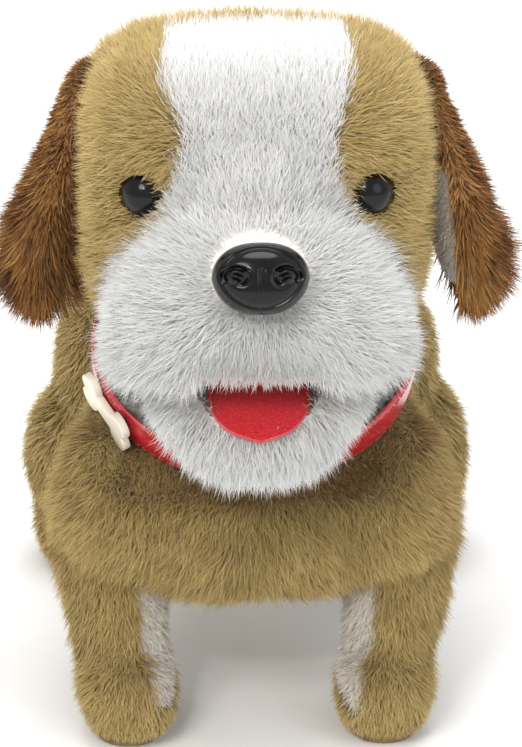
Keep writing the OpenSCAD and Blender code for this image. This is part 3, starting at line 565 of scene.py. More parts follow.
class PuppyPile(bpy.types.PropertyGroup):
    """Sizes of the pile on each part."""
    head_pile: bpy.props.FloatProperty(
        name="Head Pile", description="Strand length on the head", default=0.0062, unit="LENGTH")
    face_pile: bpy.props.FloatProperty(
        name="Face Pile", description="Strand length on the muzzle and chin", default=0.0066, unit="LENGTH")
    body_pile: bpy.props.FloatProperty(
        name="Body Pile", description="Strand length on the body and legs", default=0.0068, unit="LENGTH")
    ear_pile: bpy.props.FloatProperty(
        name="Ear Pile", description="Strand length outside the ears", default=0.0115, unit="LENGTH")
    nap: bpy.props.FloatProperty(
        name="Nap", description="Strand length of the short white cloth", default=0.0016, unit="LENGTH")
    strand: bpy.props.FloatProperty(
        name="Strand", description="Width of one strand", default=0.00025, unit="LENGTH")
    front_density: bpy.props.FloatProperty(
        name="Front Density", description="Strands per square metre on the head and chest", default=7.3e6)
    back_density: bpy.props.FloatProperty(
        name="Back Density", description="Strands per square metre on the back and belly", default=3.6e6)


class PuppyForm(bpy.types.PropertyGroup):
    """Sizes of the stuffed forms under the pile."""
    voxel: bpy.props.FloatProperty(
        name="Cloth Grid", description="Distance between the cloth's points", default=0.0018, unit="LENGTH")
    lump: bpy.props.FloatProperty(
        name="Lump Depth", description="How far uneven filling moves the cloth", default=0.0014,
        unit="LENGTH")
    felt: bpy.props.FloatProperty(
        name="Felt", description="Thickness of the tongue's felt", default=0.0016, unit="LENGTH")


class PuppyStage(bpy.types.PropertyGroup):
    """Camera and lights."""
    azimuth: bpy.props.FloatProperty(
        name="Azimuth", description="Camera's turn about the puppy", default=math.radians(-1.5),
        unit="ROTATION")
    elevation: bpy.props.FloatProperty(
        name="Elevation", description="Camera's height angle", default=math.radians(20), unit="ROTATION")
    distance: bpy.props.FloatProperty(
        name="Distance", description="Camera's distance", default=0.70, unit="LENGTH")
    lens: bpy.props.FloatProperty(
        name="Lens", description="Focal length in millimetres", default=137.35)
    key: bpy.props.FloatProperty(
        name="Key Light", description="Power of the main light in watts", default=7.0)
    floor: bpy.props.FloatProperty(
        name="Floor", description="Side of the floor", default=6.0, unit="LENGTH")


def tools():
    """What every operator works with: the two groups of settings and the shared pile tree."""
    scene = bpy.context.scene
    tree = bpy.data.node_groups.get("Pile") or pile_tree()
    found = bpy.data.objects.get
    short = found("short_strand") or blade("short_strand", (0.0, 0.16, 0.46), (1.0, 0.8, 0))
    wavy = found("wavy_strand") or blade("wavy_strand", (0.0, 0.06, 0.3, 0.34), (1.0, 1.0, 0.8, 0))
    return scene.puppy_pile, scene.puppy_form, tree, short, wavy


class Planter:
    """Grows the pieces of pile of one body, each with its own seed."""

    def __init__(self, body, fabric, seed):
        self.pile, self.form, self.tree, self.short, self.wavy = tools()
        self.body, self.fabric, self.seed = body, fabric, seed

    def plant(self, name, finish, slot, cover, comb, tone, length, density, pile=1.0, strand=None, width=None,
              lean=0.6, scatter=0.5, tufting=1.5, tuft=0.0050, spread=0.15):
        comb_fabric(self.fabric, comb, pile, tone, cover)
        self.seed += 7
        ob = grow(name, self.fabric, strand or self.short, FINISHES[finish], self.body, self.tree,
                  **{"Strands per Square Metre": density, "Length": length,
                     "Width": width or self.pile.strand, "Lean": lean, "Scatter": scatter,
                     "Tufting": tufting, "Tuft Size": tuft,
                     "Tone Spread": spread, "Seed": self.seed})
        return ob


# ---------- head ----------

def head_regions(p):
    """How white the face is at each point of the head, from 0 on the tan to 1 on the blaze and muzzle."""
    eye = span("eye_left")
    brow = (eye[0].z + eye[1].z) / 2
    x, y, z = np.abs(p[:, 0]), p[:, 1], p[:, 2]
    rise = (z - brow) / 0.03
    blaze_half = 0.0205 - 0.0045 * np.exp(-((z - brow - 0.012) / 0.009) ** 2) + 0.001 * rise
    wander = ripple(p, 0.011, 3.0) * 0.0016
    front = step(-y, 0.028, 0.036)
    top_end = 1 - step(z, 0.172, 0.1765)
    blaze = (step(blaze_half + wander - x, -0.0012, 0.0012) * front
             * np.maximum(top_end, step(-y, 0.034, 0.040)))
    muzzle = np.array((0, span("nose")[1].y + 0.0086, 0.115))
    ring = np.sqrt((x / 0.0335) ** 2 + ((z - muzzle[2] + 0.0015) / 0.0315) ** 2) + wander * 18
    snout = (1 - step(ring, 0.97, 1.05)) * step(-y, 0.052, 0.060)
    return np.maximum(blaze, snout)


class PUPPY_OT_head(bpy.types.Operator):
    """Stuffed head with tan pile, a white blaze and a white muzzle"""
    bl_idname = "puppy.head"
    bl_label = "Head"

    def execute(self, context):
        low, high = span("head_skin")
        mid_y, half_x = -0.034, high.x
        pivot = joint_at("jaw_open")
        lip = math.tan(math.radians(7))

        def build(bm):
            ball(bm, (0, mid_y, high.z - 0.0365), (half_x, 0.0355, 0.0355), 3.3)
            ball(bm, (0, mid_y - 0.006, high.z - 0.0235), (half_x - 0.001, 0.0305, 0.0245), 3.8)
            ball(bm, (0, mid_y - 0.012, 0.127), (half_x - 0.002, 0.028, 0.028), 2.5)
            ball(bm, (0, -0.067, 0.1155), (0.0305, 0.0295, 0.0285), 2.2)
            ball(bm, (0, -0.052, 0.142), (0.020, 0.024, 0.022), 2.2)
            for side in (LEFT, RIGHT):
                ball(bm, (side * 0.0165, -0.072, 0.112), (0.0165, 0.023, 0.0205))

        fabric = padded_form("head_plush", build, context.scene.puppy_form.voxel, 20)
        stuffing(fabric, 0.022, context.scene.puppy_form.lump * 0.7, 5.0)
        p = points_of(fabric.data).copy()
        slope = pivot.z + (pivot.y - p[:, 1]) * lip
        under = (p[:, 1] < pivot.y) & (p[:, 2] < slope)
        p[under, 2] = slope[under]
        neck = (p[:, 1] >= pivot.y) & (p[:, 2] < low.z + 0.004)
        p[neck, 2] = low.z + 0.004
        n = reshape(fabric, p)
        white = head_regions(p)
        open_lip = np.where(under, 0.0, 1.0)

        nose = (Vector(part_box("nose")[0]) + Vector(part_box("nose")[1])) / 2
        away = p - np.array((0, -0.095, 0.133))
        muzzle_way = along_surface(unit(away) + np.array((0, 0.25, -0.2)), n)
        up_way = along_surface(np.array((0, 0.25, 1.0)), n)
        on_back = step(n[:, 1], 0.2, 0.7)
        side_way = along_surface(np.stack([np.tanh(p[:, 0] * 60) * 0.8 * (1 - 0.8 * on_back),
                                           0.5 + 0 * on_back, -0.2 - 0.8 * on_back], 1), n)
        back_way = along_surface(np.stack([p[:, 0] * 12, 1.0 + 0 * on_back, 0 * on_back], 1), n)
        on_blaze = step(p[:, 2], 0.138, 0.146)[:, None]
        white_way = unit(muzzle_way * (1 - on_blaze) + up_way * on_blaze)
        on_top = step(p[:, 2], 0.150, 0.165)[:, None]
        tan_way = unit(side_way * (1 - on_top) + back_way * on_top)

        eyes = np.minimum(*[np.linalg.norm(p - np.array((s * 0.0262, -0.0675, 0.1464)), axis=1)
                            for s in (LEFT, RIGHT)])
        nose_at, nose_size = np.array((0, nose.y, nose.z + 0.0005)), np.array((0.0108, 0.016, 0.0085))
        nose_gap = np.linalg.norm((p - nose_at) / nose_size, axis=1)
        clear = step(eyes, 0.0052, 0.0064) * step(nose_gap, 0.95, 1.1) * open_lip
        short = 0.5 + 0.5 * step(eyes, 0.005, 0.012)
        short *= 0.5 + 0.5 * step(nose_gap, 1.0, 1.7)
        lip_row = step(0.012 - (p[:, 2] - slope), 0.0, 0.010) * step(-p[:, 1], 0.062, 0.080)
        patch = ripple(p, 0.02, 9.0) * 0.08 + ripple(p, 0.006, 4.0) * 0.07
        # painted shade: the tan darkens towards the bottom of the head
        tan_tone_and_shade = 0.60 + patch - 0.14 * step(-p[:, 2], -0.142, -0.112)
        pink = step(0.016 - np.linalg.norm(p - np.array((0, -0.092, 0.108)), axis=1), 0, 0.008)
        # painted shade: the muzzle's white takes a grey tone below the blaze's and darkens further along the
        # lip
        white_tone_and_shade = 0.52 + 0.40 * on_blaze[:, 0] + patch * 0.6 - 0.10 * lip_row - 0.12 * pink
        grower = Planter("head", fabric, 10)
        s = grower.pile
        cheek = step(-n[:, 1], 0.25, -0.2)
        for name, side in (("head_pile_left", LEFT), ("head_pile_right", RIGHT)):
            half = (p[:, 0] * side > 0).astype(float)
            grower.plant(name, "tan_pile", "tan_plush", (1 - white) * clear * half * (1 - 0.35 * cheek),
                         tan_way, tan_tone_and_shade, s.head_pile, s.front_density, short)
        hang = 0.5 - 0.7 * step(np.abs(p[:, 0]), 0.011, 0.016)
        grower.plant("face_pile", "white_pile", "white_plush", white * clear * (1 + 0.15 * lip_row),
                     white_way, white_tone_and_shade, s.face_pile, s.front_density * 1.25, short * (1 - lip_row * hang),
                     width=s.strand * 0.85, tuft=0.0042, spread=0.08, scatter=0.45, lean=0.62, tufting=1.15)
        pad(fabric, FINISHES["tan_back"], FINISHES["white_back"], white, "tan_plush", "head", "head_skin")
        return {"FINISHED"}


class PUPPY_OT_neck(bpy.types.Operator):
    """Round neck about the nod axis, white under the chin, that turns inside the collar"""
    bl_idname = "puppy.neck"
    bl_label = "Neck"

    def execute(self, context):
        axis_at, jaw_at = joint_at("head_nod"), joint_at("jaw_open")
        radius = 0.0285

        def build(bm):
            ball(bm, axis_at, (0.0345, radius, radius), 2.3)

        fabric = padded_form("neck_plush", build, context.scene.puppy_form.voxel, 4)
        p = points_of(fabric.data).copy()
        throat = (np.abs(p[:, 0]) < 0.0135) & (p[:, 2] > jaw_at.z - 0.008)
        p[throat, 1] = np.maximum(p[throat, 1], jaw_at.y - 0.001)
        n = reshape(fabric, p)
        white = step(jaw_at.y + 0.004 - p[:, 1], 0, 0.003)
        about_axis = np.stack([0 * white, -(p[:, 2] - axis_at.z), p[:, 1] - axis_at.y], 1) * -1
        round_way = along_surface(about_axis, n)
        open_side = np.where(throat, 0.0, 1.0)
        grower = Planter("head", fabric, 30)
        s = grower.pile
        # painted shade: the white under the chin takes a low, grey tone
        grower.plant("neck_pile_white", "white_pile", "white_plush", white * open_side, round_way,
                     0.46 + ripple(p, 0.012, 2.0) * 0.08, s.face_pile * 0.7, 6.5e6)
        grower.plant("neck_pile_tan", "tan_pile", "tan_plush", (1 - white) * open_side, round_way,
                     0.50 + ripple(p, 0.012, 2.0) * 0.08, s.head_pile * 0.7, 4.5e6)
        pad(fabric, FINISHES["tan_back"], FINISHES["white_back"], white, "tan_plush", "head", fill=0.5)
        return {"FINISHED"}


class PUPPY_OT_jaw(bpy.types.Operator):
    """White chin that hinges under the lip"""
    bl_idname = "puppy.jaw"
    bl_label = "Jaw"

    def execute(self, context):
        pivot = joint_at("jaw_open")
        drop_angle = math.tan(math.radians(8))

        def build(bm):
            ball(bm, (0, -0.0655, 0.0965), (0.0215, 0.0255, 0.0165), 2.3)
            for side in (LEFT, RIGHT):
                ball(bm, (side * 0.0175, -0.067, 0.099), (0.0065, 0.018, 0.009), 2.0)
            ball(bm, (0, -0.060, 0.0935), (0.0235, 0.018, 0.013), 2.2)

        fabric = padded_form("jaw_plush", build, context.scene.puppy_form.voxel * 0.8, 10)
        p = points_of(fabric.data).copy()
        slope = pivot.z - (pivot.y - p[:, 1]) * drop_angle
        slope = slope + 0.0045 * step(np.abs(p[:, 0]), 0.0105, 0.0165)
        over = p[:, 2] > slope
        p[over, 2] = slope[over]
        p[:, 1] = np.minimum(p[:, 1], pivot.y - 0.002)
        n = reshape(fabric, p)
        top = over & (np.abs(p[:, 0]) < 0.0115)
        way = along_surface(unit(p - np.array((0, -0.075, 0.106))) + np.array((0, -0.1, -0.5)), n)
        hang = step(0.092 - p[:, 2], 0, 0.010)
        rim = step(p[:, 2] - slope, -0.004, -0.0005)
        back = (p[:, 1] > pivot.y - 0.004)
        shade = 0.48 + ripple(p, 0.015, 2.0) * 0.08 - 0.10 * rim
        grower = Planter("jaw", fabric, 50)
        cover = np.where(top | back, 0.0, 1.0 - 0.2 * rim)
        grower.plant("jaw_pile", "white_pile", "white_plush", cover, way, shade,
                     grower.pile.face_pile, grower.pile.front_density * 1.1, 1 - 0.25 * rim + 0.45 * hang,
                     tuft=0.0040, spread=0.10, scatter=0.5, lean=0.8, tufting=1.1)
        pad(fabric, FINISHES["white_back"], FINISHES["felt"], top.astype(float), "white_plush", "jaw",
            "jaw_skin", fill=0.6)
        return {"FINISHED"}


def felt_sheet(name, half_width, start, end, tip_round, height_at, thickness, nx=16, ny=28):
    """Felt cut with a round tip: a grid from start to end in Y that lies on a given height."""
    bm = bmesh.new()
    rows = []
    for j in range(ny + 1):
        t = j / ny
        y = start + (end - start) * t
        rest = abs(end - y) / tip_round
        half = half_width * (math.sqrt(max(1 - (1 - rest) ** 2, 0.0009)) if rest < 1 else 1)
        rows.append([bm.verts.new((half * (2 * i / nx - 1), y, height_at(half * (2 * i / nx - 1), y)))
                     for i in range(nx + 1)])
    for a, b in zip(rows, rows[1:]):
        for i in range(nx):
            bm.faces.new((a[i], b[i], b[i + 1], a[i + 1]))
    bmesh.ops.recalc_face_normals(bm, faces=bm.faces)
    mesh = mesh_from(bm, name)
    ob = place_object(name, mesh)
    wall = ob.modifiers.new("Thickness", "SOLIDIFY")
    wall.thickness, wall.offset = thickness, 0
    round_off = ob.modifiers.new("Soft edge", "BEVEL")
    round_off.width, round_off.segments, round_off.limit_method = thickness * 0.3, 2, "ANGLE"
    smooth = ob.modifiers.new("Smooth", "SUBSURF")
    smooth.levels = smooth.render_levels = 1
    return finished(ob)


class PUPPY_OT_mouth(bpy.types.Operator):
    """Red felt tongue on the jaw and felt lining under the lip"""
    bl_idname = "puppy.mouth"
    bl_label = "Mouth"

    def execute(self, context):
        pivot = joint_at("jaw_open")
        felt = context.scene.puppy_form.felt
        fall, rise = math.tan(math.radians(8)), math.tan(math.radians(7))
        tip = -0.0955

        def tongue_height(x, y):
            base = pivot.z - (pivot.y - y) * fall + felt * 0.6
            curl = max(0.0, -y - 0.0845)
            hump = 0.0028 * math.exp(-((y + 0.074) / 0.012) ** 2)
            return base + hump + 0.0006 * math.cos(x / 0.0115 * math.pi / 2) - 34 * curl ** 2

        def roof_height(x, y):
            return pivot.z + (pivot.y - y) * rise - felt * 0.55 - 0.0008 * (x / 0.014) ** 2

        tongue = felt_sheet("felt_tongue", 0.0118, -0.0525, tip, 0.011, tongue_height, felt)
        dress(tongue, FINISHES["felt"], "red_felt", "jaw", "tongue")
        roof = felt_sheet("felt_mouth_roof", 0.0155, -0.0525, -0.0945, 0.012, roof_height, felt * 0.7)
        dress(roof, FINISHES["felt"], "red_felt", "head", "mouth_lining")
        return {"FINISHED"}


class PUPPY_OT_nose(bpy.types.Operator):
    """Moulded nose with a raised rim and two comma nostrils"""
    bl_idname = "puppy.nose"
    bl_label = "Nose"

    def execute(self, context):
        low, high = span("nose")
        half_w = (high.x - low.x) / 2
        half_h, depth = half_w * 0.74, half_w * 0.66
        centre = Vector((0, low.y + depth * 0.93, (low.z + high.z) / 2 + 0.0012))
        tilt = Matrix.Rotation(math.radians(-20), 3, "X")
        around, rings = 160, 84
        bm = bmesh.new()

        def nostril(x, z):
            """Depth of the comma: a round pit with a tail that sweeps out and up round it."""
            x = abs(x)
            pit = math.exp(-(((x - 0.40) / 0.115) ** 2 + ((z + 0.02) / 0.15) ** 2))
            angle = math.atan2(z - 0.05, x - 0.52)
            radius = math.hypot(x - 0.52, (z - 0.05) * 1.05)
            tail = math.exp(-((radius - 0.235) / 0.05) ** 2) * (1 if -0.7 < angle < 2.6 else 0)
            lip = math.exp(-((radius - 0.13) / 0.06) ** 2) * 0.5
            return pit * 1.1 + tail * 0.7 - lip

        grid = []
        for j in range(rings + 1):
            polar = math.pi * 0.80 * j / rings
            row = []
            for i in range(around if j else 1):
                a = 2 * math.pi * i / around
                x, z, out = math.sin(polar) * math.cos(a), math.sin(polar) * math.sin(a), math.cos(polar)
                size = (abs(x) ** 2.4 + abs(z) ** 2.4 + abs(out) ** 2.4) ** (-1 / 2.4)
                x, z, out = x * size, z * size, out * size
                narrow = 1 - 0.16 * max(-z, 0) - 0.05 * max(z, 0)
                v = Vector((x * half_w * narrow, -out * depth, z * half_h))
                push = 0.0
                if out > 0:
                    push -= 0.0017 * nostril(x, z)
                    push -= 0.0005 * math.exp(-(x / 0.05) ** 2) * (1 if z < 0.25 else 0) * min(1, out * 2)
                edge = math.hypot(x, z)
                push += 0.00045 * math.exp(-((edge - 0.90) / 0.05) ** 2)
                push -= 0.00035 * math.exp(-((edge - 0.80) / 0.05) ** 2) * (1 if out > 0 else 0)
                v -= Vector((0, push, 0)) if out > 0 else Vector((0, 0, 0))
                row.append(bm.verts.new(centre + tilt @ v))
            grid.append(row)
        for a, b in zip(grid, grid[1:]):
            for i in range(around):
                j = (i + 1) % around
                bm.faces.new(list(dict.fromkeys((a[i % len(a)], b[i], b[j], a[j % len(a)]))))
        bm.faces.new(grid[-1])
        bmesh.ops.recalc_face_normals(bm, faces=bm.faces)
        mesh = mesh_from(bm, "moulded_nose")
        mesh.shade_smooth()
        dress(place_object("moulded_nose", mesh), FINISHES["nose"], "black_gloss", "head", "nose")
        return {"FINISHED"}


class PUPPY_OT_eyes(bpy.types.Operator):
    """Glossy domed eyes with a turned rim"""
    bl_idname = "puppy.eyes"
    bl_label = "Eyes"

    def execute(self, context):
        for side, node in ((LEFT, "eye_left"), (RIGHT, "eye_right")):
            low, high = span(node)
            r = (high.z - low.z) / 2
            centre = Vector(((low.x + high.x) / 2 - side * 0.0010, low.y + r * 1.02,
                             (low.z + high.z) / 2 - 0.0008))
            dome = [(r * math.sin(math.radians(a)), r * math.cos(math.radians(a))) for a in range(0, 78, 6)]
            rim = [(r * 1.06, r * 0.16), (r * 1.09, r * 0.08), (r * 1.06, 0), (r * 0.8, -r * 0.2),
                   (0, -r * 0.3)]
            mesh = lathe(dome + rim)
            face = Vector((side * 0.10, -1, 0.12)).to_track_quat("Z", "Y").to_matrix().to_4x4()
            mesh.transform(Matrix.Translation(centre) @ face)
            ob = place_object("domed_" + node, mesh)
            if mesh.polygons[0].normal.dot(mesh.polygons[0].center - centre) < 0:
                mesh.flip_normals()
            dress(ob, FINISHES["nose"], "black_gloss", "head", node)
        return {"FINISHED"}


class PUPPY_OT_ears(bpy.types.Operator):
    """Hanging ears: long wavy brown pile outside, short white nap inside"""
    bl_idname = "puppy.ears"
    bl_label = "Ears"

    def execute(self, context):
        for side, word in ((LEFT, "left"), (RIGHT, "right")):
            body = "ear_" + word
            hinge = joint_at(body + "_flap")
            low, _ = span(body + "_pile")
            shown = 1.0 if side == LEFT else 0.0

            yaw = Matrix.Rotation(side * math.radians(12), 3, "Z")

            def build(bm):
                for i in range(9):
                    t = i / 8
                    spread = math.sin(math.pi * min(1, 0.24 + 0.60 * t)) ** 0.8
                    centre = (hinge.x + side * (-0.0035 + 0.0128 * t ** 0.9), hinge.y - 0.004 * t,
                              hinge.z - 0.004 + (low.z + 0.014 - hinge.z) * t)
                    ball(bm, centre, (0.0058, 0.0175 * spread, 0.0085), 2.0, yaw)

            fabric = padded_form(body + "_plush", build, 0.0012, 8)
            p = points_of(fabric.data)
            wave = ripple(p, 0.018, 4.0 + side)
            p = p + np.stack([wave * 0.0012, np.zeros_like(wave), np.zeros_like(wave)], 1)
            n = reshape(fabric, p)
            p = points_of(fabric.data)
            inner = step(-n[:, 0] * side, 0.55 - 0.25 * shown, 0.75 - 0.25 * shown)
            inner = inner * step(hinge.z - 0.006 - p[:, 2], 0, 0.004)
            inner = inner * np.maximum(shown, step(n[:, 1], -0.30, -0.05))
            sweep = np.stack([0.25 * side + 0 * wave, (p[:, 1] - hinge.y) * 14 - 0.1, -1.0 + 0 * wave], 1)
            sweep += np.stack([0 * wave, ripple(p, 0.007, 8.0) * 0.5, 0 * wave], 1)
            way = along_surface(unit(sweep), n)
            grower = Planter(body, fabric, 70 if side == LEFT else 90)
            s = grower.pile
            fall = step(hinge.z - p[:, 2], 0.0, 0.045)
            shade = 0.52 + ripple(p, 0.008, 1.0) * 0.24 - 0.16 * fall + 0.16 * step(-n[:, 1], 0.1, 0.8)
            length = 0.30 + 0.55 * fall + 0.15 * step(fall, 0.5, 1)
            grower.plant(body + "_pile_long", "brown_pile", "brown_plush", 1 - inner, way, shade, s.ear_pile,
                         9.5e6, length, strand=grower.wavy, width=s.strand * 1.25, lean=0.8, scatter=0.5,
                         tufting=2.1, tuft=0.0055, spread=0.2)
            nap_way = along_surface(np.array((0, 0, -1.0)), n)
            grower.plant(body + "_nap", "nap", "white_nap", inner, nap_way,
                         0.6 + ripple(p, 0.004, 6.0) * 0.15, s.nap, 8.0e6, width=s.strand, tufting=1.2,
                         tuft=0.002)
            pad(fabric, FINISHES["brown_back"], FINISHES["white_back"], inner, "brown_plush", body,
                body + "_pile", body + "_lining", fill=0.3)
        return {"FINISHED"}


# ---------- body, legs and tail ----------

class PUPPY_OT_body(bpy.types.Operator):
    """Stuffed body with a chest, a back and an opening under it for the battery door"""
    bl_idname = "puppy.body"
    bl_label = "Body"

    def execute(self, context):
        low, high = span("body_skin")
        door_high = span("battery_door")[1]
        mid = (low + high) / 2
        half = (high - low) / 2

        def build(bm):
            ball(bm, mid, (half.x - 0.0080, half.y + 0.0005, half.z + 0.0005), 4.6)
            ball(bm, (0, low.y + 0.031, mid.z - 0.003), (half.x - 0.001, 0.0320, half.z - 0.001), 2.9)
            for side in (LEFT, RIGHT):
                ball(bm, (side * 0.030, -0.038, 0.062), (0.019, 0.023, 0.024), 2.2)
                ball(bm, (side * 0.029, 0.058, 0.060), (0.017, 0.028, 0.024), 2.2)

        fabric = padded_form("body_plush", build, context.scene.puppy_form.voxel * 1.1, 14)
        stuffing(fabric, 0.026, context.scene.puppy_form.lump, 12.0)
        p = points_of(fabric.data).copy()
        # the body narrows towards its top
        case_half = span("case_left")[1].x + 0.0022
        reach = np.abs(p[:, 0])
        narrow = reach * (1 - 0.24 * step(p[:, 2], 0.052, 0.092))
        p[:, 0] = np.sign(p[:, 0]) * np.maximum(narrow, np.minimum(reach, case_half))
        axis_at = np.array(joint_at("head_nod"))
        lean = COLLAR_LEAN
        up_neck = np.array((0, -math.sin(lean), math.cos(lean)))
        along_neck = (p - axis_at) @ up_neck
        cut = -0.0072
        above = along_neck > cut
        p[above] -= ((along_neck[above] - cut)[:, None] * up_neck).astype(np.float32)
        margin = 0.0018
        inside = ((np.abs(p[:, 0]) < door_high.x + margin) & (p[:, 1] > -0.020)
                  & (p[:, 1] < door_high.y + margin) & (p[:, 2] < mid.z))
        p[inside, 2] = door_high.z + 0.0012
        n = reshape(fabric, p)
        clear_x = step(np.abs(p[:, 0]), door_high.x + 0.003, door_high.x + 0.006)
        clear_y = np.maximum(step(-p[:, 1], 0.022, 0.026),
                             step(p[:, 1], door_high.y + 0.004, door_high.y + 0.008))
        clear = np.where(p[:, 2] < low.z + 0.012, np.maximum(clear_x, clear_y), 1.0) * np.where(inside, 0, 1)
        below_collar = cut - (p - axis_at) @ up_neck
        collar_high = span("collar_strap")[1]
        across = (p - axis_at) @ np.array((0, math.cos(lean), math.sin(lean)))
        outside = np.hypot((p[:, 0] - axis_at[0]) / collar_high.x, across / 0.034)
        clear = clear * np.maximum(step(outside, 0.90, 0.97), step(below_collar, 0.004, 0.008))
        close = step(0.010 - below_collar, 0, 0.008) * step(1.30 - outside, 0, 0.22)
        upper_back = step(p[:, 2], 0.070, 0.090) * step(p[:, 1], -0.03, 0.0)
        near_collar = (1 - 0.5 * close) * (1 - 0.35 * upper_back)

        chest = step(-p[:, 1], 0.020, 0.026)
        belly = step(-n[:, 2], 0.62, 0.72) * (1 - chest)
        back = step(n[:, 2], 0.45, 0.55) * (1 - chest) * (1 - belly)
        flank = (1 - chest) * (1 - belly) * (1 - back)
        part = p[:, 0] * 20
        parting = np.stack([np.tanh(p[:, 0] * 140) * 0.75 * step(0.074 - p[:, 2], 0.0, 0.022), 0 * part - 0.1,
                            -0.9 + 0 * part], 1)
        down = along_surface(parting, n)
        rear = along_surface(np.stack([part * 0.6, 0.9 + 0 * part, -0.55 - 0.9 * np.abs(part) * 0.6], 1), n)
        way = unit(down * chest[:, None] + rear * (1 - chest[:, None]))
        folds = ripple(p, 0.017, 7.0) * 0.09 + ripple(p, 0.0065, 2.0) * 0.09
        shade = 0.50 + folds
        # painted shade down the crease in the middle of the chest
        chest_crease_shade = np.exp(-(p[:, 0] / 0.006) ** 2) * step(0.068 - p[:, 2], 0.0, 0.02) * chest
        collar_low = span("collar_strap")[0].z
        shadow = np.exp(-((p[:, 2] - collar_low + 0.004) / 0.010) ** 2) * chest * (np.abs(p[:, 0]) < 0.038)
        # painted shade: the chest crease, the collar's shadow and the belly darken the tan
        shade = shade - 0.16 * chest_crease_shade - 0.10 * shadow - 0.06 * belly
        grower = Planter("torso", fabric, 120)
        s = grower.pile
        halves = (("left", p[:, 0] >= 0), ("right", p[:, 0] < 0))
        for word, half_mask in halves:
            grower.plant("chest_pile_" + word, "tan_pile", "tan_plush", chest * clear * half_mask, way, shade,
                         s.body_pile, s.front_density, near_collar, lean=0.7, tufting=1.7, tuft=0.0065)
        for word, half_mask in halves:
            grower.plant("flank_pile_" + word, "tan_pile", "tan_plush", flank * clear * half_mask, way, shade,
                         s.body_pile, s.front_density * 0.62, near_collar, width=s.strand * 1.3, lean=0.75,
                         tufting=1.6, tuft=0.0065)
        # painted light: the back's tan is a little lighter on top
        grower.plant("back_pile", "tan_pile", "tan_plush", back * clear, way, shade + 0.04, s.body_pile,
                     s.back_density * 1.2, width=s.strand * 1.45, lean=0.8, tufting=1.5, tuft=0.0065)
        grower.plant("belly_pile", "tan_pile", "tan_plush", belly * clear, way, shade, s.body_pile * 0.6,
                     s.back_density, width=s.strand * 1.5)
        pad(fabric, FINISHES["tan_back"], FINISHES["tan_back"], chest * 0, "tan_plush", "torso", "body_skin",
            fill=0.8)
        return {"FINISHED"}


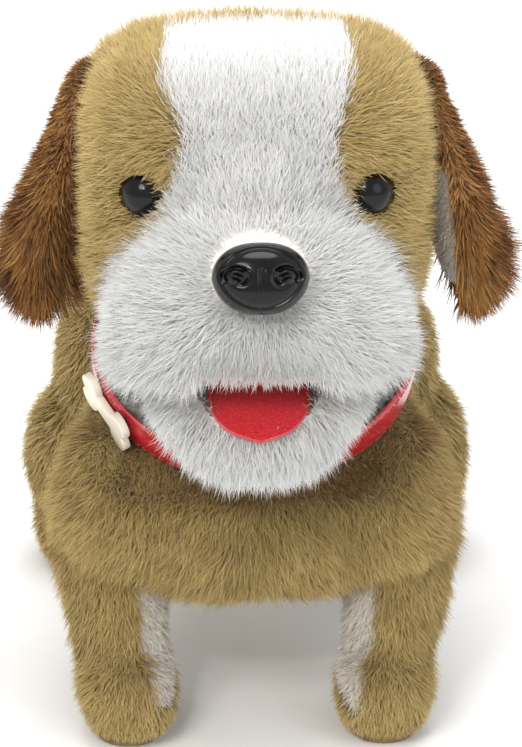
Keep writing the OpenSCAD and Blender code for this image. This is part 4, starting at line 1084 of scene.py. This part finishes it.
class PUPPY_OT_legs(bpy.types.Operator):
    """Four walking legs with tan pile, white nap inside the front pair and rounded paws"""
    bl_idname = "puppy.legs"
    bl_label = "Legs"

    def execute(self, context):
        places = [(end, word, side) for end in ("front", "rear")
                  for word, side in (("left", LEFT), ("right", RIGHT))]
        for index, (end, word, side) in enumerate(places):
            name = f"{end}_{word}"
            low, high = span(name + "_skin")
            sole_low, sole_high = span(name + "_sole")
            paw = (sole_low + sole_high) / 2
            pivot_y, pivot_z = (FRONT_AXLE_Y, AXLE_Z) if end == "front" else (REAR_AXLE_Y, AXLE_Z)
            outer = max(abs(low.x), abs(high.x))
            front = end == "front"
            base = sole_high.z + 0.0004

            def build(bm):
                top_x = side * (outer - (0.0095 if front else 0.0115))
                top_x -= 0 if front else side * 0.0045
                ball(bm, (top_x, pivot_y, pivot_z - 0.008), (0.0095, 0.0165 if front else 0.021, 0.020), 2.2)
                if not front:
                    ball(bm, (side * (outer - 0.010), pivot_y - 0.002, 0.033), (0.0125, 0.0195, 0.019), 2.2)
                    bar_x = side * 0.0300
                    for i in range(9):
                        z = pivot_z - 0.004 - (pivot_z - 0.016) * i / 8
                        ball(bm, (bar_x, pivot_y, z), (0.0058, 0.0095, 0.008), 2.4)
                        ball(bm, (side * 0.0375, pivot_y, z), (0.0080, 0.0100, 0.008), 2.4)
                    ball(bm, (side * 0.0370, paw.y - 0.001, 0.0112), (0.0130, 0.0118, 0.0102), 4.0)
                knee = (paw.x + side * (0.0022 if front else 0.001),
                        paw.y + (0.003 if front else 0.001), 0.030)
                wide = 0.0112 if front else 0.0096
                limb(bm, (top_x - side * 0.002, pivot_y, pivot_z - 0.018), knee, 0.0138, wide)
                limb(bm, knee, (paw.x, paw.y + 0.001, 0.016), wide, 0.0100, 4)
                ball(bm, (paw.x, paw.y, 0.0108), (0.0102, 0.0152, 0.0104), 4.0)
                ball(bm, (paw.x, paw.y - 0.002, 0.0125), (0.0104, 0.0136, 0.0112), 2.6)

            fabric = padded_form(name + "_plush", build, 0.0015, 8)
            stuffing(fabric, 0.014, 0.0006, 30.0 + index)
            p = points_of(fabric.data).copy()
            over_sole = (np.abs(p[:, 0] - paw.x) < 0.0084) & (np.abs(p[:, 1] - paw.y) < 0.0134)
            floor_gap = 0.0012
            p[:, 2] = np.maximum(p[:, 2], np.where(over_sole, base, floor_gap))
            n = reshape(fabric, p)
            sole = np.where(over_sole & (p[:, 2] < base + 0.0008), 0.0, 1.0) * step(p[:, 2], floor_gap, 0.003)
            edge = 0.004 * ripple(p, 0.008, 3.0)
            inner = 0 * sole
            if front:
                inner = step(-n[:, 0] * side, 0.30, 0.42) * step(p[:, 2] + edge, 0.010, 0.013)
            under_body = step(0.080 - p[:, 2], 0.0, 0.006)
            down = along_surface(np.stack([0 * sole, -0.15 + 0 * sole, -1.0 + 0 * sole], 1), n)
            tone = 0.48 + ripple(p, 0.008, 5.0) * 0.14 + 0.10 * step(0.020 - p[:, 2], 0.0, 0.010)
            length = 0.95 - 0.55 * step(0.016 - p[:, 2], 0.0, 0.013)
            grower = Planter(name + "_leg", fabric, 200 + 20 * index)
            s = grower.pile
            grower.plant(name + "_pile", "tan_pile", "tan_plush", (1 - inner) * sole * under_body, down, tone,
                         s.body_pile * 0.86, s.front_density if front else s.front_density * 0.48, length,
                         width=s.strand if front else s.strand * 1.25, lean=0.75, tufting=1.4, tuft=0.0055)
            if front:
                grower.plant(name + "_nap", "nap", "white_nap", inner * sole * under_body, down,
                             0.62 + ripple(p, 0.004, 6.0) * 0.2, s.nap * 1.5, 7.0e6, tufting=1.3, tuft=0.0028)
            pad(fabric, FINISHES["tan_back"], FINISHES["white_back"], inner, "tan_plush", name + "_leg",
                name + "_skin")
        return {"FINISHED"}


class PUPPY_OT_tail(bpy.types.Operator):
    """Upright stuffed tail"""
    bl_idname = "puppy.tail"
    bl_label = "Tail"

    def execute(self, context):
        low, high = span("tail_skin")
        pin = joint_at("tail_wag")
        root_y = (low.y + high.y) / 2

        def build(bm):
            limb(bm, (0, pin.y + 0.010, pin.z), (0, root_y - 0.001, low.z + 0.009), 0.0048, 0.0056, 5)
            limb(bm, (0, root_y - 0.001, low.z + 0.009), (0, root_y, low.z + 0.020), 0.0056, 0.0054, 4)
            limb(bm, (0, root_y, low.z + 0.020), (0, root_y - 0.003, high.z - 0.0042), 0.0054, 0.0036, 6)

        fabric = padded_form("tail_plush", build, 0.0012, 5)
        p, n = points_of(fabric.data), points_of(fabric.data, "normal")
        up = along_surface(np.array((0, 0.25, 1.0)), n)
        grower = Planter("tail", fabric, 300)
        grower.plant("tail_pile", "tan_pile", "tan_plush", np.ones(len(p)), up,
                     0.52 + ripple(p, 0.007, 3.0) * 0.1, grower.pile.body_pile * 0.9, 6.0e6, tufting=0.9)
        pad(fabric, FINISHES["tan_back"], FINISHES["tan_back"], np.zeros(len(p)), "tan_plush", "tail",
            "tail_skin")
        return {"FINISHED"}


# ---------- collar ----------

def stitch_tree():
    """Geometry Nodes that lay a running stitch along a curve."""
    tree = bpy.data.node_groups.new("Running Stitch", "GeometryNodeTree")
    for name, kind, value in (("Path", "NodeSocketGeometry", None), ("Pitch", "NodeSocketFloat", 0.0024),
                              ("Stitch", "NodeSocketFloat", 0.0016), ("Thread", "NodeSocketFloat", 0.00022),
                              ("Material", "NodeSocketMaterial", None)):
        socket = tree.interface.new_socket(name, in_out="INPUT", socket_type=kind)
        if value is not None:
            socket.default_value = value
    tree.interface.new_socket("Stitches", in_out="OUTPUT", socket_type="NodeSocketGeometry")
    given = add(tree, "NodeGroupInput").outputs
    path = add(tree, "GeometryNodeMeshToCurve", {"Mesh": given["Path"]})
    points = add(tree, "GeometryNodeCurveToPoints", {"Curve": path.outputs[0], "Length": given["Pitch"]},
                 mode="LENGTH")
    thread = add(tree, "GeometryNodeMeshCylinder",
                 {"Vertices": 6, "Side Segments": 1, "Radius": given["Thread"], "Depth": given["Stitch"]})
    along = add(tree, "FunctionNodeAlignRotationToVector", {"Vector": points.outputs["Tangent"]}, axis="Z")
    laid = add(tree, "GeometryNodeInstanceOnPoints", {"Points": points.outputs["Points"],
                                                      "Instance": thread.outputs["Mesh"],
                                                      "Rotation": along.outputs[0]})
    real = add(tree, "GeometryNodeRealizeInstances", {"Geometry": laid.outputs[0]})
    done = add(tree, "GeometryNodeSetMaterial", {"Geometry": real.outputs[0], "Material": given["Material"]})
    add(tree, "NodeGroupOutput", {"Stitches": done.outputs[0]})
    return tree


class PUPPY_OT_collar(bpy.types.Operator):
    """Vinyl collar with stitched edges and its bone slide"""
    bl_idname = "puppy.collar"
    bl_label = "Collar"

    def execute(self, context):
        high = span("collar_strap")[1]
        axis_at = joint_at("head_nod")
        lean = COLLAR_LEAN
        turn = Matrix.Rotation(lean, 4, "X")
        frame_at = Matrix.Translation(axis_at) @ turn
        rx, ry, half_w, half_t = high.x - 0.0008, 0.034, 0.0055, 0.0008
        profile = []
        for i in range(24):
            a = 2 * math.pi * i / 24
            across = abs(math.cos(a)) ** 0.35 * math.copysign(1, math.cos(a))
            out = abs(math.sin(a)) ** 0.8 * math.copysign(1, math.sin(a))
            crown = 1.25 if out > 0 else 1.0
            profile.append((across * half_w, out * half_t * crown))
        around = 160
        bm = bmesh.new()
        rings = []
        for i in range(around):
            a = 2 * math.pi * i / around
            normal = Vector((math.cos(a) * ry, math.sin(a) * rx, 0)).normalized()
            centre = Vector((rx * math.cos(a), ry * math.sin(a), 0))
            rings.append([bm.verts.new(frame_at @ (centre + normal * o + Vector((0, 0, w))))
                          for w, o in profile])
        for a, b in zip(rings, rings[1:] + rings[:1]):
            for i in range(len(profile)):
                j = (i + 1) % len(profile)
                bm.faces.new((a[i], a[j], b[j], b[i]))
        bmesh.ops.recalc_face_normals(bm, faces=bm.faces)
        mesh = mesh_from(bm, "vinyl_collar")
        mesh.shade_smooth()
        dress(place_object("vinyl_collar", mesh), FINISHES["vinyl"], "red_strap", "torso", "collar_strap")

        thread, tree_m, bsdf = shader("spun_polyester_thread_red", Roughness=0.6)
        twist = object_noise(tree_m, 0.0003)
        tint_base(tree_m, bsdf, twist.outputs["Fac"], (0.3, "#8d1220"), (0.7, "#c3434d"))
        bm = bmesh.new()
        for w in (-half_w + 0.0011, half_w - 0.0011):
            loop = []
            for i in range(around):
                a = 2 * math.pi * i / around
                normal = Vector((math.cos(a) * ry, math.sin(a) * rx, 0)).normalized()
                out = half_t * 1.12
                on_strap = Vector((rx * math.cos(a), ry * math.sin(a), w)) + normal * out
                loop.append(bm.verts.new(frame_at @ on_strap))
            for a, b in zip(loop, loop[1:] + loop[:1]):
                bm.edges.new((a, b))
        ob = place_object("collar_stitches", mesh_from(bm, "stitch_path"))
        nodes = ob.modifiers.new("Stitches", "NODES")
        nodes.node_group = stitch_tree()
        for item in nodes.node_group.interface.items_tree:
            if item.name == "Material":
                nodes[item.identifier] = thread
        ob = finished(ob)
        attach(ob, "torso")

        bone = bpy.data.objects.new("bone_slide", frame["nodes"]["collar_bone"].data.copy())
        context.scene.collection.objects.link(bone)
        work = bmesh.new()
        work.from_mesh(bone.data)
        bmesh.ops.remove_doubles(work, verts=work.verts, dist=0.00002)
        bmesh.ops.dissolve_limit(work, angle_limit=math.radians(1.5), verts=work.verts, edges=work.edges)
        work.to_mesh(bone.data)
        work.free()
        edge = bone.modifiers.new("Rounded edge", "BEVEL")
        edge.width, edge.segments, edge.limit_method, edge.angle_limit = 0.0006, 3, "ANGLE", math.radians(50)
        dress(finished(bone), FINISHES["bone"], "cream_plastic", "torso", "collar_bone")
        return {"FINISHED"}


# ---------- stage ----------

class PUPPY_OT_stage(bpy.types.Operator):
    """Pale floor, soft lights and the camera"""
    bl_idname = "puppy.stage"
    bl_label = "Stage"

    def execute(self, context):
        s = context.scene.puppy_stage
        half = s.floor / 2
        bm = bmesh.new()
        cove = 1.2
        outline = [(-half, 0.0), (half * 0.4, 0.0)]
        for i in range(1, 13):
            a = math.pi / 2 * i / 12
            outline.append((half * 0.4 + cove * math.sin(a), cove * (1 - math.cos(a))))
        outline.append((half * 0.4 + cove, 3.0))
        rows = [[bm.verts.new((x, y, z - 0.0002)) for x in (-half, half)] for y, z in outline]
        for a, b in zip(rows, rows[1:]):
            bm.faces.new((a[0], a[1], b[1], b[0]))
        mesh = mesh_from(bm, "floor")
        mesh.shade_smooth()
        floor = place_object("floor", mesh)
        paper, tree, bsdf = shader("matt_paper_white", Roughness=0.95, Specular_IOR_Level=0.1)
        grain = object_noise(tree, 0.05)
        tint_base(tree, bsdf, grain.outputs["Fac"], (0.3, "#fafafa"), (0.7, "#ffffff"))
        mesh.materials.append(paper)

        aim = Vector((0.0015, -0.042, 0.092))

        def light(name, place, size, power, tint="#ffffff"):
            lamp = bpy.data.lights.new(name, "AREA")
            lamp.shape, lamp.size, lamp.energy = "DISK", size, power
            lamp.color = colour(tint)[:3]
            ob = bpy.data.objects.new(name, lamp)
            context.scene.collection.objects.link(ob)
            ob.location = place
            ob.rotation_euler = (aim - Vector(place)).to_track_quat("-Z", "Y").to_euler()

        light("key", (-0.55, -1.0, 1.05), 0.55, s.key, "#fffaf2")
        light("fill", (0.9, -0.9, 0.65), 0.9, s.key * 0.4, "#f6f9ff")
        light("top", (0.0, -0.15, 1.35), 0.8, s.key * 1.15)
        light("back", (0.3, 1.2, 0.7), 0.8, s.key * 0.45)
        light("sparkle", (-0.25, -0.9, 0.75), 0.07, s.key * 0.16)

        world = bpy.data.worlds.new("studio")
        world.use_nodes = True
        world.node_tree.nodes["Background"].inputs["Color"].default_value = colour("#ffffff")
        world.node_tree.nodes["Background"].inputs["Strength"].default_value = 0.72
        context.scene.world = world
        context.scene.view_settings.view_transform = "Standard"

        camera = bpy.data.cameras.new("camera")
        camera.lens, camera.sensor_width, camera.sensor_fit = s.lens, 36, "AUTO"
        camera.clip_end = 20
        eye = bpy.data.objects.new("camera", camera)
        context.scene.collection.objects.link(eye)
        a, e = s.azimuth, s.elevation
        back = Vector((math.sin(a) * math.cos(e), -math.cos(a) * math.cos(e), math.sin(e)))
        eye.location = aim + back * s.distance
        eye.rotation_euler = back.to_track_quat("Z", "Y").to_euler()
        context.scene.camera = eye
        return {"FINISHED"}


class PUPPY_PT_panel(bpy.types.Panel):
    """Lists the puppy's pieces and settings"""
    bl_label = "Puppy"
    bl_idname = "PUPPY_PT_panel"
    bl_space_type = "VIEW_3D"
    bl_region_type = "UI"
    bl_category = "Puppy"

    def draw(self, context):
        for group in (context.scene.puppy_pile, context.scene.puppy_form, context.scene.puppy_stage):
            for name in group.__annotations__:
                self.layout.prop(group, name)
        for operator in OPERATORS:
            self.layout.operator(operator.bl_idname)


OPERATORS = (PUPPY_OT_stage, PUPPY_OT_head, PUPPY_OT_neck, PUPPY_OT_jaw, PUPPY_OT_mouth,
             PUPPY_OT_nose, PUPPY_OT_eyes, PUPPY_OT_ears, PUPPY_OT_body, PUPPY_OT_legs, PUPPY_OT_tail,
             PUPPY_OT_collar)
GROUPS = {"puppy_pile": PuppyPile, "puppy_form": PuppyForm, "puppy_stage": PuppyStage}


def register():
    for group in GROUPS.values():
        bpy.utils.register_class(group)
    for name, group in GROUPS.items():
        setattr(bpy.types.Scene, name, bpy.props.PointerProperty(type=group))
    for operator in OPERATORS:
        bpy.utils.register_class(operator)
    bpy.utils.register_class(PUPPY_PT_panel)


def unregister():
    bpy.utils.unregister_class(PUPPY_PT_panel)
    for operator in reversed(OPERATORS):
        bpy.utils.unregister_class(operator)
    for name, group in GROUPS.items():
        delattr(bpy.types.Scene, name)
        bpy.utils.unregister_class(group)


def main():
    register()
    make_finishes()
    for operator in OPERATORS:
        if getattr(bpy.ops.puppy, operator.bl_idname.split(".")[1])() != {"FINISHED"}:
            raise RuntimeError(operator.bl_label + " was not finished")
    drop(bpy.data.objects["short_strand"], bpy.data.objects["wavy_strand"])


if __name__ == "__main__":
    main()
